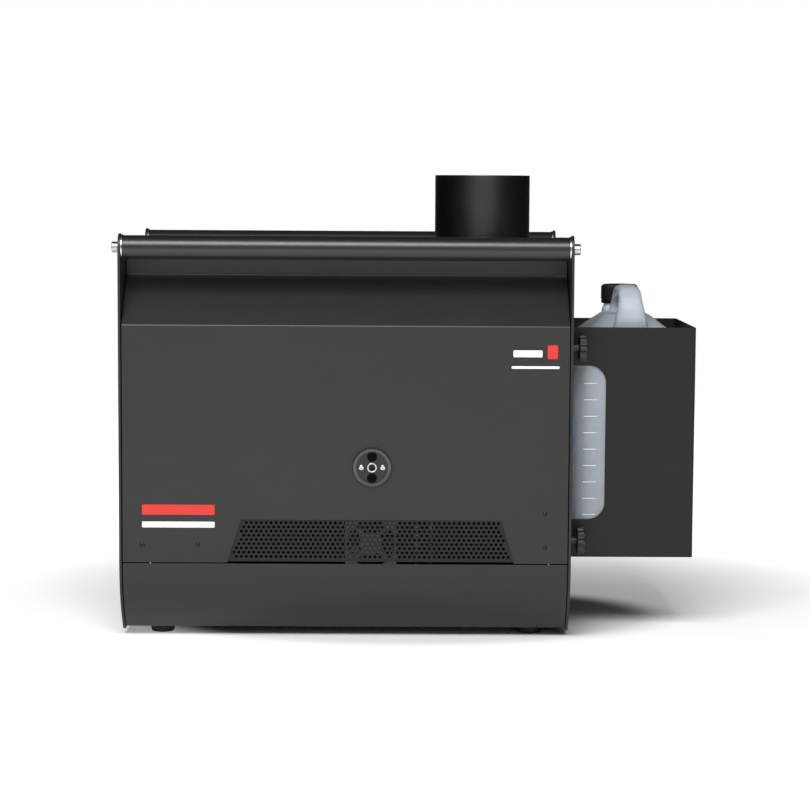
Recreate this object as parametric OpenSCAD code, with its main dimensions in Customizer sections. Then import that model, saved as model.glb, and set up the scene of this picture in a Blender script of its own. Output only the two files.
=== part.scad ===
// Upright smoke machine: a sheet-metal body on rubber feet, with two carrying handles,
// a round outlet duct on top, and a fluid tank in a holder on its right side.
// The origin is on the floor, under the middle of the whole machine. The front faces -Y.

/* [Body] */
// Width over the two side plates
body_w = 530; // [520:2:560]
// Depth of the side plates, front to back
body_d = 338; // [334:2:350]
// Thickness of the side plates
plate_t = 3; // [2:0.5:4]
// Thickness of the folded casing sheets
sheet_t = 1.5; // [1:0.25:2]
// Height of the side plates' bottom edge above the floor
plate_lift = 6; // [4:1:8]
// Height of the seam between the base pan and the panels above it
seam_z = 92; // [90:1:96]
// Height of the crease where the front and rear panels lean back
crease_z = 371; // [366:1:376]
// Height where the leaning part ends and the wall behind the handle starts
lean_top_z = 428; // [424:1:432]
// Height of the flat top panel
top_z = 452; // [448:1:456]
// Depth of the well behind each handle, from the side plates' edge
well_d = 60; // [56:1:62]
// Radius of the curve under the front and rear panels
belly_r = 113; // [110:1:116]
// How far that curve turns, in degrees
belly_turn = 44.5; // [42:0.5:46]

/* [Handles] */
// Diameter of the handle tubes
handle_d = 28; // [25:1:30]
// Height of the handle tubes' axis
handle_z = 461; // [459:1:463]
// Radius of the side plates' lobes round the handle tubes
lobe_r = 16; // [15.5:0.5:17]

/* [Outlet duct] */
// Outside diameter of the duct
duct_d = 116; // [112:1:118]
// Wall thickness of the duct
duct_wall = 2; // [1.5:0.5:3]
// Distance of the duct's axis to the right of the body's centre
duct_x = 164; // [160:1:166]
// Height of the duct's top edge
duct_top_z = 547; // [520:1:600]

/* [Grille] */
// Height of the top edge of the grille opening
grille_top_z = 143.5; // [140:0.5:148]
// Left end of the opening's top edge, from the body's centre
grille_top_left = -122; // [-130:1:-110]
// Right end of the opening's top edge, from the body's centre
grille_top_right = 183; // [170:1:190]
// How much further left the opening's bottom edge reaches
grille_lean_left = 16.5; // [10:0.5:20]
// How much further right the opening's bottom edge reaches
grille_lean_right = 15; // [10:0.5:20]
// Distance between rows of perforations
row_pitch = 5; // [5:0.5:6]
// Width of one perforation
perforation = 3.3; // [2.5:0.1:3.5]

/* [Yoke rosettes] */
// Diameter of the toothed rosettes
rosette_d = 46; // [44:1:48]
// Distance of the rosettes' axis to the right of the body's centre
rosette_x = 31; // [20:1:40]
// Height of the rosettes' axis
rosette_z = 206; // [200:1:212]
// Number of teeth on a rosette
rosette_teeth = 60; // [48:4:72]

/* [Tank holder] */
// Width of the holder, from the side plate outwards
holder_w = 152; // [150:1:160]
// Depth of the holder, front to back
holder_depth = 196; // [194:1:200]
// Height of the holder's bottom edge
holder_bottom_z = 90; // [86:1:94]
// Height of the holder's top edge
holder_top_z = 367; // [362:1:372]
// Thickness of the holder's sheet
holder_t = 1.5; // [1:0.25:1.5]
// Width of the window in the holder's front wall
window_w = 45; // [40:1:50]
// Height of the window's bottom edge
window_bottom_z = 136; // [130:1:150]
// Height of the window's top edge
window_top_z = 321; // [300:1:330]
// Corner radius of the window
window_r = 20; // [10:1:22]
// Diameter of the star knobs
knob_d = 32; // [30:1:34]

/* [Tank] */
// Width of the tank, left to right
tank_w = 145; // [140:1:145]
// Depth of the tank, front to back
tank_d = 190; // [186:1:190]
// Height of the tank's shoulder edge above its bottom
tank_wall_h = 222; // [215:1:225]
// Wall thickness of the tank
tank_t = 2; // [1.5:0.5:2]
// Diameter of the tank's cap
cap_d = 46; // [44:1:46]

/* [Hidden] */
$fn = 64;
e = 0.1;

// Body
half_w = body_w / 2;
half_d = body_d / 2;
inner_x = half_w - plate_t;
panel_gap = 1;
panel_x = inner_x - panel_gap;
face_y = half_d - 1;
wall_y = half_d - well_d;
pan_bottom_z = 10;
floor_z = pan_bottom_z + sheet_t;
flange_depth = 15;
pan_flange_y = 115;
flange_z = [seam_z + 8, crease_z - 11];

// Handles
handle_y = half_d - lobe_r;
plug_flange_t = 2;
plug_len = 20;
m8_head_d = 13;
m8_head_h = 8;

// The whole machine reaches from the left handle screws to the holder's outer wall
reach_left = half_w + m8_head_h;
reach_right = half_w + holder_w;
body_x = (reach_left - reach_right) / 2;

// Outlet, fan and stand
duct_neck_d = duct_d - 2;
duct_step_z = top_z + 3;
fan_size = 120;
fan_h = 38;
fan_z = 250;
fan_bore_d = 114;
guard_t = 2.5;
duct_bottom_z = fan_z + fan_h + guard_t;
flange_ring_w = 17;
flange_ring_t = 3;
stand_leg_w = 18;

// Heater
block_size = [175, 50, 50];
block_x = -115;
block_y = 35;
jacket_x = [-140, 80];
jacket_y = 75;
jacket_z = [300, 392];
cavity_x = [-125, 60];
cavity_y = 64;
cavity_z = [320, 382];
rod_d = 12;
rod_z = 333;
pipe_d = 10;
pipe_z = 350;
feed_z = 350;
feed_x = -160;

// Pump and lines
line_d = 8;
line_y = 35;
line_z = 40;
pump_x = [125, 205];
pump_d = 36;
inlet_y = 126;
inlet_z = 230;
inlet_notch = 24;

// Rear control panel, seen from behind
control_x = -150;
control_z = 235;
control_w = 150;
control_h = 180;
control_lap = 8;
control_face_y = face_y - sheet_t;
display_z = 300;
button_z = 266;
button_d = 9;
button_travel = 1.5;
button_pitch = 20;
socket_z = 222;
socket_x = [-193, -150];
switch_x = -103;
inlet_power_x = -190;
lower_z = 172;
breaker_x = -110;
flange_size = [26, 31];
socket_bore_d = 19;
power_bore_d = 20;

// Grille and cooling fan
grille_top_x = [grille_top_left, grille_top_right];
grille_bottom_x = [grille_top_left - grille_lean_left, grille_top_right + grille_lean_right];
grille_t = 1;
grille_y = face_y - sheet_t - 0.1;
cool_size = 60;
cool_x = 30;
cool_z = 116;
cool_h = 25;

// Holder, studs and knobs
window_z = [window_bottom_z, window_top_z];
holder_right = half_w + holder_w;
holder_y = holder_depth / 2;
holder_flange_y = 140;
stud_y = 124;
stud_z = [114, 344];
stud_d = 6;
knob_x = half_w + 9.5;
knob_t = 9.7;
knob_hub_d = 10;
shelf_z = 115;

// Tank
tank_x = half_w + 76;
tank_z = shelf_z + 0.3;
tank_wall_z = tank_z + tank_wall_h;
tank_shoulder = 42;
tank_deck_z = tank_wall_z + tank_shoulder;
neck_y = 70;
neck_d = 38;
neck_top_z = tank_deck_z + 26;
cap_h = 24;
cap_bottom_z = 387.5;
tank_handle_w = 32;
tank_handle_top_z = 415;
tank_handle_y = [-86, 34];

// ---------- Helpers ----------

// Unit vector from a to b
function unit(a, b) = (b - a) / norm(b - a);

// Direction turned by an angle in degrees
function turned(d, a) = [d[0] * cos(a) - d[1] * sin(a), d[0] * sin(a) + d[1] * cos(a)];

// First two entries of a corner [y, z, radius]
function flat(p) = [p[0], p[1]];

// Arc that rounds corner b on the way from a to c, as [point, left normal] pairs
function corner_arc(a, b, c) =
  let (d0 = unit(flat(a), flat(b)), d1 = unit(flat(b), flat(c)))
  let (turn = atan2(cross(d0, d1), d0 * d1), side = sign(turn), r = b[2])
  let (start = flat(b) - d0 * r * tan(abs(turn) / 2), n0 = turned(d0, 90))
  let (centre = start + side * r * n0, steps = max(4, ceil(abs(turn) / 6)))
  [for (k = [0:steps]) let (n = turned(n0, turn * k / steps)) [centre - side * r * n, n]];

// Closed outline with every corner [y, z, radius] rounded
function rounded(p) =
  let (last = len(p) - 1)
  [
    for (i = [0:last])
      each [for (q = corner_arc(p[i == 0 ? last : i - 1], p[i], p[i == last ? 0 : i + 1])) q[0]]
  ];

// Middle line of a folded sheet through corners [y, z, bend radius], as [point, normal] pairs
function folded(p) =
  let (last = len(p) - 1)
  [
    for (i = [0:last])
      each i == 0 ? [[flat(p[0]), turned(unit(flat(p[0]), flat(p[1])), 90)]]
        : i == last ? [[flat(p[i]), turned(unit(flat(p[i - 1]), flat(p[i])), 90)]]
        : corner_arc(p[i - 1], p[i], p[i + 1])
  ];

// Cross-section of a folded sheet of thickness t
module sheet_profile(p, t) {
  line = folded(p);
  last = len(line) - 1;
  polygon(concat(
    [for (q = line) q[0] - q[1] * t / 2],
    [for (i = [last:-1:0]) line[i][0] + line[i][1] * t / 2]
  ));
}

// Colours a piece drawn from the body's centre and moves it to the machine's origin
module piece(c) {
  color(c) translate([body_x, 0, 0]) children();
}

// Extrudes an outline drawn as (y, z) from x0 to x1
module along_x(x0, x1) {
  translate([x0, 0, 0]) rotate([90, 0, 90]) linear_extrude(x1 - x0) children();
}

// Extrudes an outline drawn as (x, z) from y0 to y1
module along_y(y0, y1) {
  translate([0, y1, 0]) rotate([90, 0, 0]) linear_extrude(y1 - y0) children();
}

// Box between two corners
module block(a, b) {
  translate(a) cube(b - a);
}

// Cylinder along X or Y between two stations
module rod_x(x0, x1, y, z, d) {
  translate([x0, y, z]) rotate([0, 90, 0]) cylinder(d = d, h = x1 - x0);
}

module rod_y(y0, y1, x, z, d) {
  translate([x, y1, z]) rotate([90, 0, 0]) cylinder(d = d, h = y1 - y0);
}

// Front and rear copies of a piece drawn for the front
module front_and_rear() {
  children();
  mirror([0, 1, 0]) children();
}

// Rectangle with exact round corners, centred
module round_rect(w, h, r) {
  square([w - 2 * r, h], center = true);
  square([w, h - 2 * r], center = true);
  for (x = [-1, 1], y = [-1, 1])
    translate([x * (w / 2 - r), y * (h / 2 - r)]) circle(r);
}

// Table of folded sheet: a plate on four legs with feet turned outwards
module stand(x0, x1, y1, top) {
  difference() {
    union() {
      block([x0, -y1, top - sheet_t], [x1, y1, top]);
      for (s = [-1, 1]) {
        leg_y = [min(s * y1, s * (y1 - stand_leg_w)), max(s * y1, s * (y1 - stand_leg_w))];
        block([x0, leg_y[0], floor_z], [x0 + sheet_t, leg_y[1], top]);
        block([x1 - sheet_t, leg_y[0], floor_z], [x1, leg_y[1], top]);
        block([x0 - 12, leg_y[0], floor_z], [x0 + sheet_t, leg_y[1], floor_z + sheet_t]);
        block([x1 - sheet_t, leg_y[0], floor_z], [x1 + 12, leg_y[1], floor_z + sheet_t]);
      }
    }
    children();
  }
}

// Square frame of an axial fan, with a motor hub on four struts; the air flows along Z
module fan_frame(size, bore, h, hub) {
  difference() {
    linear_extrude(h) round_rect(size, size, size * 0.06);
    translate([0, 0, -e]) cylinder(d = bore, h = h + 2 * e);
    for (x = [-1, 1], y = [-1, 1])
      translate([x * size * 0.438, y * size * 0.438, -e]) cylinder(d = size * 0.035, h = h + 2 * e);
  }
  cylinder(d = hub, h = 5);
  for (a = [45:90:315])
    rotate(a) translate([hub / 2 - 1, -2, 0]) cube([(bore - hub) / 2 + 1.5, 4, 3]);
}

// Hub with swept blades, clear of the frame's struts below it
module fan_rotor(bore, h, hub, blades) {
  translate([0, 0, 5.5]) cylinder(d = hub, h = h - 6.5);
  for (i = [0:blades - 1])
    rotate(i * 360 / blades) translate([hub / 2 - 1, 0, h * 0.53]) rotate([35, 0, 0])
      translate([0, -h * 0.36, -1]) cube([(bore - hub) / 2 - 1, h * 0.72, 2]);
}

// Tube through a list of points, with a slightly thicker ball fitting at each elbow
module tube_run(p, d) {
  for (i = [0:len(p) - 2]) {
    v = p[i + 1] - p[i];
    turn = [0, acos(v[2] / norm(v)), atan2(v[1], v[0])];
    translate(p[i]) rotate(turn) cylinder(d = d, h = norm(v));
    if (i > 0) translate(p[i]) sphere(d = 1.25 * d);
  }
}

// ---------- Casing ----------

// Height of the corner under a curve of radius r that starts at the seam
function belly_corner_z(r) = seam_z - r * tan(belly_turn / 2);

// Front half of a side plate's outline, as corners [y, z, radius] from the bottom to the well
plate_corner_z = belly_corner_z(belly_r);
plate_front = [
  [-half_d + (plate_corner_z - plate_lift) * tan(belly_turn), plate_lift, 8],
  [-half_d, plate_corner_z, belly_r],
  [-half_d, handle_z + lobe_r, lobe_r],
  [-half_d + 2 * lobe_r, handle_z + lobe_r, lobe_r - 0.01],
  [-half_d + 2 * lobe_r, top_z + 1, 7]
];
plate_rear = [for (i = [4:-1:0]) [-plate_front[i][0], plate_front[i][1], plate_front[i][2]]];

// Places of the countersunk screws that hold the panels to a side plate, as [y, z]
plate_screws = [
  for (s = [-1, 1], z = [flange_z[0] + 14, (flange_z[0] + flange_z[1]) / 2, flange_z[1] - 8])
    [s * (face_y - 11), z]
];

// Left-hand side plate, with its outer face at x = -half_w
module plate_blank() {
  difference() {
    along_x(-half_w, -inner_x) polygon(rounded(concat(plate_front, plate_rear)));
    for (s = [-1, 1])
      rod_x(-half_w - e, -inner_x + e, s * handle_y, handle_z, 8.4);
    for (p = plate_screws) {
      rod_x(-half_w - e, -inner_x + e, p[0], p[1], 4.4);
      translate([-half_w, p[0], p[1]]) rotate([0, 90, 0]) translate([0, 0, -e])
        cylinder(d1 = 8.2 + 2 * e, d2 = 4.4, h = 1.9 + e);
    }
  }
}

module side_plate_left() {
  piece("#3b3a3c") plate_blank();
}

module side_plate_right() {
  piece("#3b3a3c") difference() {
    mirror([1, 0, 0]) plate_blank();
    for (y = [-stud_y, stud_y], z = stud_z)
      rod_x(inner_x - e, half_w + e, y, z, stud_d + 0.4);
    rod_x(inner_x - e, half_w + e, inlet_y, inlet_z, 10.4);
  }
}

// Middle line of the base pan, from the front seam down to the floor and up to the rear seam
pan_line_y = -(face_y - sheet_t / 2);
pan_line_r = belly_r - 1 - sheet_t / 2;
pan_line_z = pan_bottom_z + sheet_t / 2;
pan_corner_z = belly_corner_z(pan_line_r) - 1;
pan_front = [
  [pan_line_y, seam_z - 0.6, 0],
  [pan_line_y, pan_corner_z, pan_line_r],
  [pan_line_y + (pan_corner_z - pan_line_z) * tan(belly_turn), pan_line_z, 6]
];
pan_rear = [for (i = [2:-1:0]) [-pan_front[i][0], pan_front[i][1], pan_front[i][2]]];

// Base pan with a flange turned up at each end
module base_pan() {
  piece("#39383a") difference() {
    union() {
      along_x(-panel_x, panel_x) sheet_profile(concat(pan_front, pan_rear), sheet_t);
      for (s = [-1, 1])
        block(
          [s > 0 ? panel_x - sheet_t : -panel_x, -pan_flange_y, pan_line_z],
          [s > 0 ? panel_x : sheet_t - panel_x, pan_flange_y, floor_z + flange_depth]
        );
    }
    for (x = [-1, 1], y = [-1, 1])
      translate([x * foot_x, y * foot_y, 0]) cylinder(d = 8.2, h = 2 * floor_z);
  }
}

// Middle line of the front panel, from the seam to the top panel
panel_line = [
  [pan_line_y, seam_z + 0.6, 0],
  [pan_line_y, crease_z, 2.5],
  [-(wall_y - sheet_t / 2), lean_top_z, 5],
  [-(wall_y - sheet_t / 2), top_z - sheet_t, 0]
];

// Front or rear panel with its two side flanges
module panel_blank() {
  difference() {
    union() {
      along_x(-panel_x, panel_x) sheet_profile(panel_line, sheet_t);
      for (s = [-1, 1])
        block(
          [s > 0 ? panel_x - sheet_t : -panel_x, -face_y + sheet_t / 2, flange_z[0]],
          [s > 0 ? panel_x : sheet_t - panel_x, -face_y + flange_depth + 4, flange_z[1]]
        );
    }
    rod_y(-face_y - e, -face_y + sheet_t + e, rosette_x, rosette_z, 17);
    for (a = [0:90:270])
      rod_y(
        -face_y - e, -face_y + sheet_t + e, rosette_x + rosette_screw_r * cos(a),
        rosette_z + rosette_screw_r * sin(a), 3.4
      );
    for (p = plate_screws)
      rod_x(-half_w, half_w, p[0], p[1], 4.4);
  }
}

grille_opening = [
  [grille_bottom_x[0], seam_z], [grille_bottom_x[1], seam_z],
  [grille_top_x[1], grille_top_z], [grille_top_x[0], grille_top_z]
];

// Places of the small screws on the front panel, as [x, z]
front_screws = [[-238, 113], [-173, 114], [234, 112], [234, 152]];

module front_panel() {
  piece("#454346") difference() {
    panel_blank();
    along_y(-face_y - e, -face_y + sheet_t + e) polygon(grille_opening);
    for (p = front_screws)
      rod_y(-face_y - e, -face_y + sheet_t + e, p[0], p[1], 3.4);
  }
}

// Perforated sheet behind the opening in the front panel
module front_grille() {
  rows = floor((grille_top_z - seam_z) / row_pitch) + 1;
  slope = (grille_top_x[0] - grille_bottom_x[0]) / (grille_top_z - seam_z);
  slope_right = (grille_top_x[1] - grille_bottom_x[1]) / (grille_top_z - seam_z);
  fields = 12;
  rib = 4;
  piece("#4a494b") difference() {
    block(
      [grille_bottom_x[0] - 10, -grille_y, seam_z + 2],
      [grille_bottom_x[1] + 10, -grille_y + grille_t, grille_top_z + 8]
    );
    for (i = [1:rows - 1]) {
      z = grille_top_z - row_pitch * (i - 0.5);
      x0 = grille_bottom_x[0] + slope * (z - seam_z) + 3;
      x1 = grille_bottom_x[1] + slope_right * (z - seam_z) - 3;
      w = (x1 - x0) / fields;
      for (k = [0:fields - 1])
        block(
          [x0 + w * k + rib / 2, -grille_y - e, z - perforation / 2],
          [x0 + w * (k + 1) - rib / 2, -grille_y + grille_t + e, z + perforation / 2]
        );
    }
  }
}

// Places of the screws round the control panel, as [x, z]
control_screws = [
  for (sx = [-1, 1], sz = [-1, 1])
    [control_x + sx * (control_w / 2 + 4), control_z + sz * (control_h / 2 - 12)]
];

module rear_panel() {
  piece("#454346") difference() {
    mirror([0, 1, 0]) panel_blank();
    along_y(face_y - sheet_t - e, face_y + e)
      translate([control_x, control_z]) round_rect(control_w, control_h, 6);
    for (p = control_screws)
      rod_y(face_y - sheet_t - e, face_y + e, p[0], p[1], 3.4);
  }
}

// Places of the screws that hold the top panel's duct flange, as angles
flange_screws = [30:60:330];
flange_screw_r = duct_d / 2 + 10;

module top_panel() {
  piece("#3f3e40") difference() {
    union() {
      block([-panel_x, -wall_y, top_z - sheet_t], [panel_x, wall_y, top_z]);
      front_and_rear() block(
        [-panel_x, -wall_y + sheet_t + 0.2, top_z - 16],
        [panel_x, -wall_y + 2 * sheet_t + 0.2, top_z - sheet_t / 2]
      );
    }
    translate([duct_x, 0, top_z - 20]) cylinder(d = duct_neck_d + 1, h = 40);
    for (a = flange_screws)
      translate([duct_x, 0, top_z - 20]) rotate(a) translate([flange_screw_r, 0, 0])
        cylinder(d = 4.4, h = 40);
  }
}

foot_x = 220;
foot_y = 105;

module rubber_feet() {
  piece("#1c1c1d")
    for (x = [-1, 1], y = [-1, 1]) translate([x * foot_x, y * foot_y, 0]) {
      cylinder(d1 = 27, d2 = 30, h = pan_bottom_z);
      cylinder(d = 8, h = floor_z + 1);
      translate([0, 0, floor_z]) cylinder(d = 12, h = 2.5);
    }
}

// Small pan-head screw along -Z, with its head's underside at z = 0
module small_screw(len) {
  difference() {
    cylinder(d1 = 5.6, d2 = 4.6, h = 1.2);
    translate([0, 0, 0.5]) cylinder(d = 2, h = 1, $fn = 6);
  }
  translate([0, 0, -len]) cylinder(d = 3, h = len + e);
}

// Countersunk screw along -Z, flush at z = 0
module flush_screw(len) {
  difference() {
    translate([0, 0, -1.9]) cylinder(d1 = 4, d2 = 8, h = 1.9);
    translate([0, 0, -1]) cylinder(d = 2.9, h = 2, $fn = 6);
  }
  translate([0, 0, -len]) cylinder(d = 4, h = len - 1.8);
}

module panel_screws() {
  piece("#2a2a2b") {
    for (p = front_screws)
      translate([p[0], -face_y, p[1]]) rotate([90, 0, 0]) small_screw(1.5);
    for (p = control_screws)
      translate([p[0], face_y, p[1]]) rotate([-90, 0, 0]) small_screw(5);
    for (a = flange_screws)
      translate([duct_x, 0, top_z]) rotate(a) translate([flange_screw_r, 0, 0]) small_screw(7);
    for (p = plate_screws, s = [-1, 1])
      translate([s * half_w, p[0], p[1]]) rotate([0, s * 90, 0]) flush_screw(7);
  }
}

// ---------- Handles ----------

module handle_tube() {
  tube_x = inner_x - plug_flange_t;
  translate([0, -handle_y, 0]) difference() {
    rod_x(-tube_x, tube_x, 0, handle_z, handle_d);
    rod_x(-tube_x - e, tube_x + e, 0, handle_z, handle_d - 4);
  }
}

module front_handle_tube() {
  piece("#4b4a4d") handle_tube();
}

module rear_handle_tube() {
  piece("#4b4a4d") mirror([0, 1, 0]) handle_tube();
}

module handle_end_plugs() {
  piece("#c9cacc") for (sx = [0, 1], sy = [0, 1])
    mirror([sx, 0, 0]) mirror([0, sy, 0]) translate([0, -handle_y, 0]) difference() {
      union() {
        rod_x(inner_x - plug_flange_t, inner_x, 0, handle_z, handle_d + 1.6);
        rod_x(inner_x - plug_len, inner_x - 1, 0, handle_z, handle_d - 4.1);
      }
      rod_x(inner_x - plug_len - e, inner_x + e, 0, handle_z, 8);
    }
}

module handle_screws() {
  piece("#d2d3d5") for (sx = [0, 1], sy = [0, 1])
    mirror([sx, 0, 0]) mirror([0, sy, 0]) translate([0, -handle_y, 0]) difference() {
      union() {
        rod_x(half_w, half_w + m8_head_h, 0, handle_z, m8_head_d);
        rod_x(inner_x - plug_len + 2, half_w + 1, 0, handle_z, 7.8);
      }
      translate([half_w + 4, 0, handle_z]) rotate([0, 90, 0])
        cylinder(d = 6.9, h = m8_head_h, $fn = 6);
    }
}

// ---------- Yoke rosettes ----------

rosette_t = 2.5;
tooth_h = 1;
rosette_screw_r = 12.5;
counterbore_d = 11.6;
counterbore_z = 1;
rosette_hub_end = 154;
yoke_bore_d = 6.8;

// Toothed disc on the front face, with a threaded hub that passes through the panel
module rosette() {
  rim_w = 5.5;
  translate([rosette_x, -face_y, rosette_z]) rotate([90, 0, 0]) difference() {
    union() {
      cylinder(d = rosette_d, h = rosette_t);
      difference() {
        cylinder(d = rosette_d, h = rosette_t + tooth_h);
        translate([0, 0, rosette_t]) cylinder(d = rosette_d - 2 * rim_w, h = 2);
      }
      cylinder(d = 12, h = rosette_t + tooth_h);
      translate([0, 0, rosette_hub_end - face_y]) cylinder(d = 16, h = face_y - rosette_hub_end);
    }
    translate([0, 0, rosette_hub_end - face_y - e]) cylinder(d = yoke_bore_d, h = 30);
    for (i = [0:rosette_teeth - 1])
      rotate(i * 360 / rosette_teeth)
        translate([(rosette_d - rim_w) / 2, 0, rosette_t + tooth_h + 0.15])
          rotate([45, 0, 0]) cube([rim_w + 1, 1.2, 1.2], center = true);
    for (a = [0:90:270])
      rotate(a) translate([rosette_screw_r, 0, -10]) cylinder(d = 3.4, h = 20);
    for (a = [90, 270])
      rotate(a) translate([rosette_screw_r, 0, counterbore_z]) cylinder(d = counterbore_d, h = 10);
  }
}

module front_rosette() {
  piece("#1d1d1f") rosette();
}

module rear_rosette() {
  piece("#1d1d1f") mirror([0, 1, 0]) rosette();
}

// Screws of a rosette: pan heads left and right, cap screws in the counterbores above and below
module rosette_screws() {
  piece("#b9babc") front_and_rear()
    translate([rosette_x, -face_y, rosette_z]) rotate([90, 0, 0])
      for (a = [0:90:270]) {
        deep = a % 180 == 90;
        rotate(a) translate([rosette_screw_r, 0, deep ? counterbore_z : rosette_t]) {
          difference() {
            cylinder(d1 = deep ? 7 : 5.6, d2 = deep ? 7 : 4.8, h = deep ? 1.4 : 0.9);
            translate([0, 0, 0.5]) cylinder(d = deep ? 3.5 : 2, h = 1, $fn = 6);
          }
          translate([0, 0, -7]) cylinder(d = 3, h = 7 + e);
        }
      }
}

module rosette_backing_plates() {
  piece("#6d6e70") front_and_rear() difference() {
    along_y(-face_y + sheet_t, -face_y + sheet_t + 3)
      translate([rosette_x, rosette_z]) round_rect(90, 90, 6);
    rod_y(-face_y, -face_y + 10, rosette_x, rosette_z, 16.4);
    for (a = [0:90:270])
      rod_y(
        -face_y, -face_y + 10, rosette_x + rosette_screw_r * cos(a),
        rosette_z + rosette_screw_r * sin(a), 3.4
      );
  }
}

// ---------- Outlet duct and jet fan ----------

// Duct, full size above the top panel and slimmer where it passes into the body
module outlet_duct() {
  piece("#232324") difference() {
    union() {
      translate([duct_x, 0, duct_bottom_z])
        cylinder(d = duct_neck_d, h = duct_top_z - duct_bottom_z - 1);
      translate([duct_x, 0, duct_step_z]) cylinder(d = duct_d, h = duct_top_z - duct_step_z);
    }
    translate([duct_x, 0, duct_bottom_z - e])
      cylinder(d = duct_d - 2 * duct_wall, h = duct_top_z - duct_bottom_z + 2 * e);
    for (s = [-1, 1])
      rod_x(duct_x - duct_d / 2 - 1, duct_x, s * block_y, pipe_z, pipe_d + 0.6);
  }
}

module duct_flange() {
  ring_z = top_z - sheet_t - flange_ring_t;
  piece("#6d6e70") translate([duct_x, 0, ring_z]) difference() {
    cylinder(d = duct_d + 2 * flange_ring_w, h = flange_ring_t);
    translate([0, 0, -e]) cylinder(d = duct_neck_d + 0.2, h = flange_ring_t + 2 * e);
    for (a = flange_screws)
      rotate(a) translate([flange_screw_r, 0, -e]) cylinder(d = 3.4, h = flange_ring_t + 2 * e);
  }
}

module jet_fan_housing() {
  piece("#2b2b2c") translate([duct_x, 0, fan_z]) fan_frame(fan_size, fan_bore_d, fan_h, 46);
}

module jet_fan_rotor() {
  piece("#1f1f20") translate([duct_x, 0, fan_z]) fan_rotor(fan_bore_d, fan_h, 46, 7);
}

// Wire guard on top of the fan, under the duct
module jet_fan_guard() {
  wire = guard_t;
  piece("#b5b6b8") translate([duct_x, 0, fan_z + fan_h]) linear_extrude(wire) {
    for (r = [20:16:52])
      difference() {
        circle(r + wire / 2);
        circle(r - wire / 2);
      }
    for (a = [45:90:315])
      rotate(a) translate([20, -wire / 2]) square([fan_size * 0.62 - 20, wire]);
  }
}

module fan_stand() {
  side = fan_size / 2 + 2;
  piece("#7a7b7d") stand(duct_x - side, duct_x + side, side, fan_z)
    translate([duct_x, 0, fan_z - 10]) cylinder(d = fan_bore_d, h = 20);
}

// ---------- Heater ----------

module heater_blocks() {
  piece("#a9aaac") for (s = [-1, 1]) difference() {
    block(
      [block_x, s * block_y - block_size[1] / 2, cavity_z[0]],
      [block_x + block_size[0], s * block_y + block_size[1] / 2, cavity_z[0] + block_size[2]]
    );
    rod_x(block_x - e, block_x + 165, s * block_y, rod_z, rod_d + 0.2);
    rod_x(block_x - e, block_x + block_size[0] + e, s * block_y, pipe_z, 5);
  }
}

module heater_rods() {
  piece("#c4c5c7") for (s = [-1, 1]) {
    rod_x(block_x - 6, block_x + 160, s * block_y, rod_z, rod_d);
    rod_x(block_x - 9, block_x - 6, s * block_y, rod_z, 5);
  }
}

module heater_jacket() {
  piece("#d8d4c8") difference() {
    block(
      [jacket_x[0], -jacket_y, jacket_z[0]],
      [jacket_x[1], jacket_y, jacket_z[1]]
    );
    block(
      [cavity_x[0], -cavity_y, cavity_z[0]],
      [cavity_x[1], cavity_y, cavity_z[1]]
    );
    for (s = [-1, 1])
      rod_x(jacket_x[0] - e, jacket_x[1] + e, s * block_y, pipe_z, pipe_d + 0.6);
  }
}

module heater_cradle() {
  piece("#7a7b7d") stand(jacket_x[0] - 8, jacket_x[1] + 6, jacket_y + 5, jacket_z[0])
    translate([-30, 0, jacket_z[0] - 5]) cylinder(d = 60, h = 10);
}

module thermostats() {
  piece("#d9c9a0") for (s = [-1, 1], x = [-60, 10])
    translate([x, s * block_y, cavity_z[0] + block_size[2]]) {
      cylinder(d = 16, h = 6);
      translate([0, 0, 6]) cylinder(d = 8, h = 3);
    }
}

module nozzle_pipes() {
  piece("#c28a4f") for (s = [-1, 1]) difference() {
    rod_x(cavity_x[1], duct_x - 39, s * block_y, pipe_z, pipe_d);
    rod_x(cavity_x[1] - e, duct_x - 39 + e, s * block_y, pipe_z, 5);
  }
}

// ---------- Pump and lines ----------

module fluid_pump() {
  piece("#303134") {
    rod_x(pump_x[0] + 12, pump_x[1] - 12, line_y, line_z, pump_d);
    rod_x(pump_x[0], pump_x[0] + 13, line_y, line_z, 14);
    rod_x(pump_x[1] - 13, pump_x[1], line_y, line_z, 14);
  }
}

module pump_bracket() {
  piece("#8f9092") difference() {
    block(
      [pump_x[0] + 20, line_y - 24, floor_z],
      [pump_x[1] - 20, line_y + 24, line_z]
    );
    rod_x(pump_x[0], pump_x[1], line_y, line_z, pump_d + 0.2);
  }
}

suction_x = 244;
suction_route = [
  [inner_x - 12, inlet_y, inlet_z], [suction_x, inlet_y, inlet_z],
  [suction_x, inlet_y - 20, 90], [suction_x, inlet_y - 50, line_z],
  [suction_x, line_y, line_z], [pump_x[1], line_y, line_z]
];

module suction_line() {
  piece("#d7dde2") tube_run(suction_route, line_d);
}

feed_route = [
  [pump_x[0], line_y, line_z], [feed_x, line_y, line_z],
  [feed_x, line_y, feed_z], [block_x, line_y, feed_z]
];
branch_route = [[feed_x, line_y, feed_z], [feed_x, -line_y, feed_z], [block_x, -line_y, feed_z]];

module pressure_line() {
  piece("#c28a4f") {
    tube_run(feed_route, line_d);
    tube_run(branch_route, line_d);
  }
}

inlet_pin_d = 10;
inlet_pin_len = 14;

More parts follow.
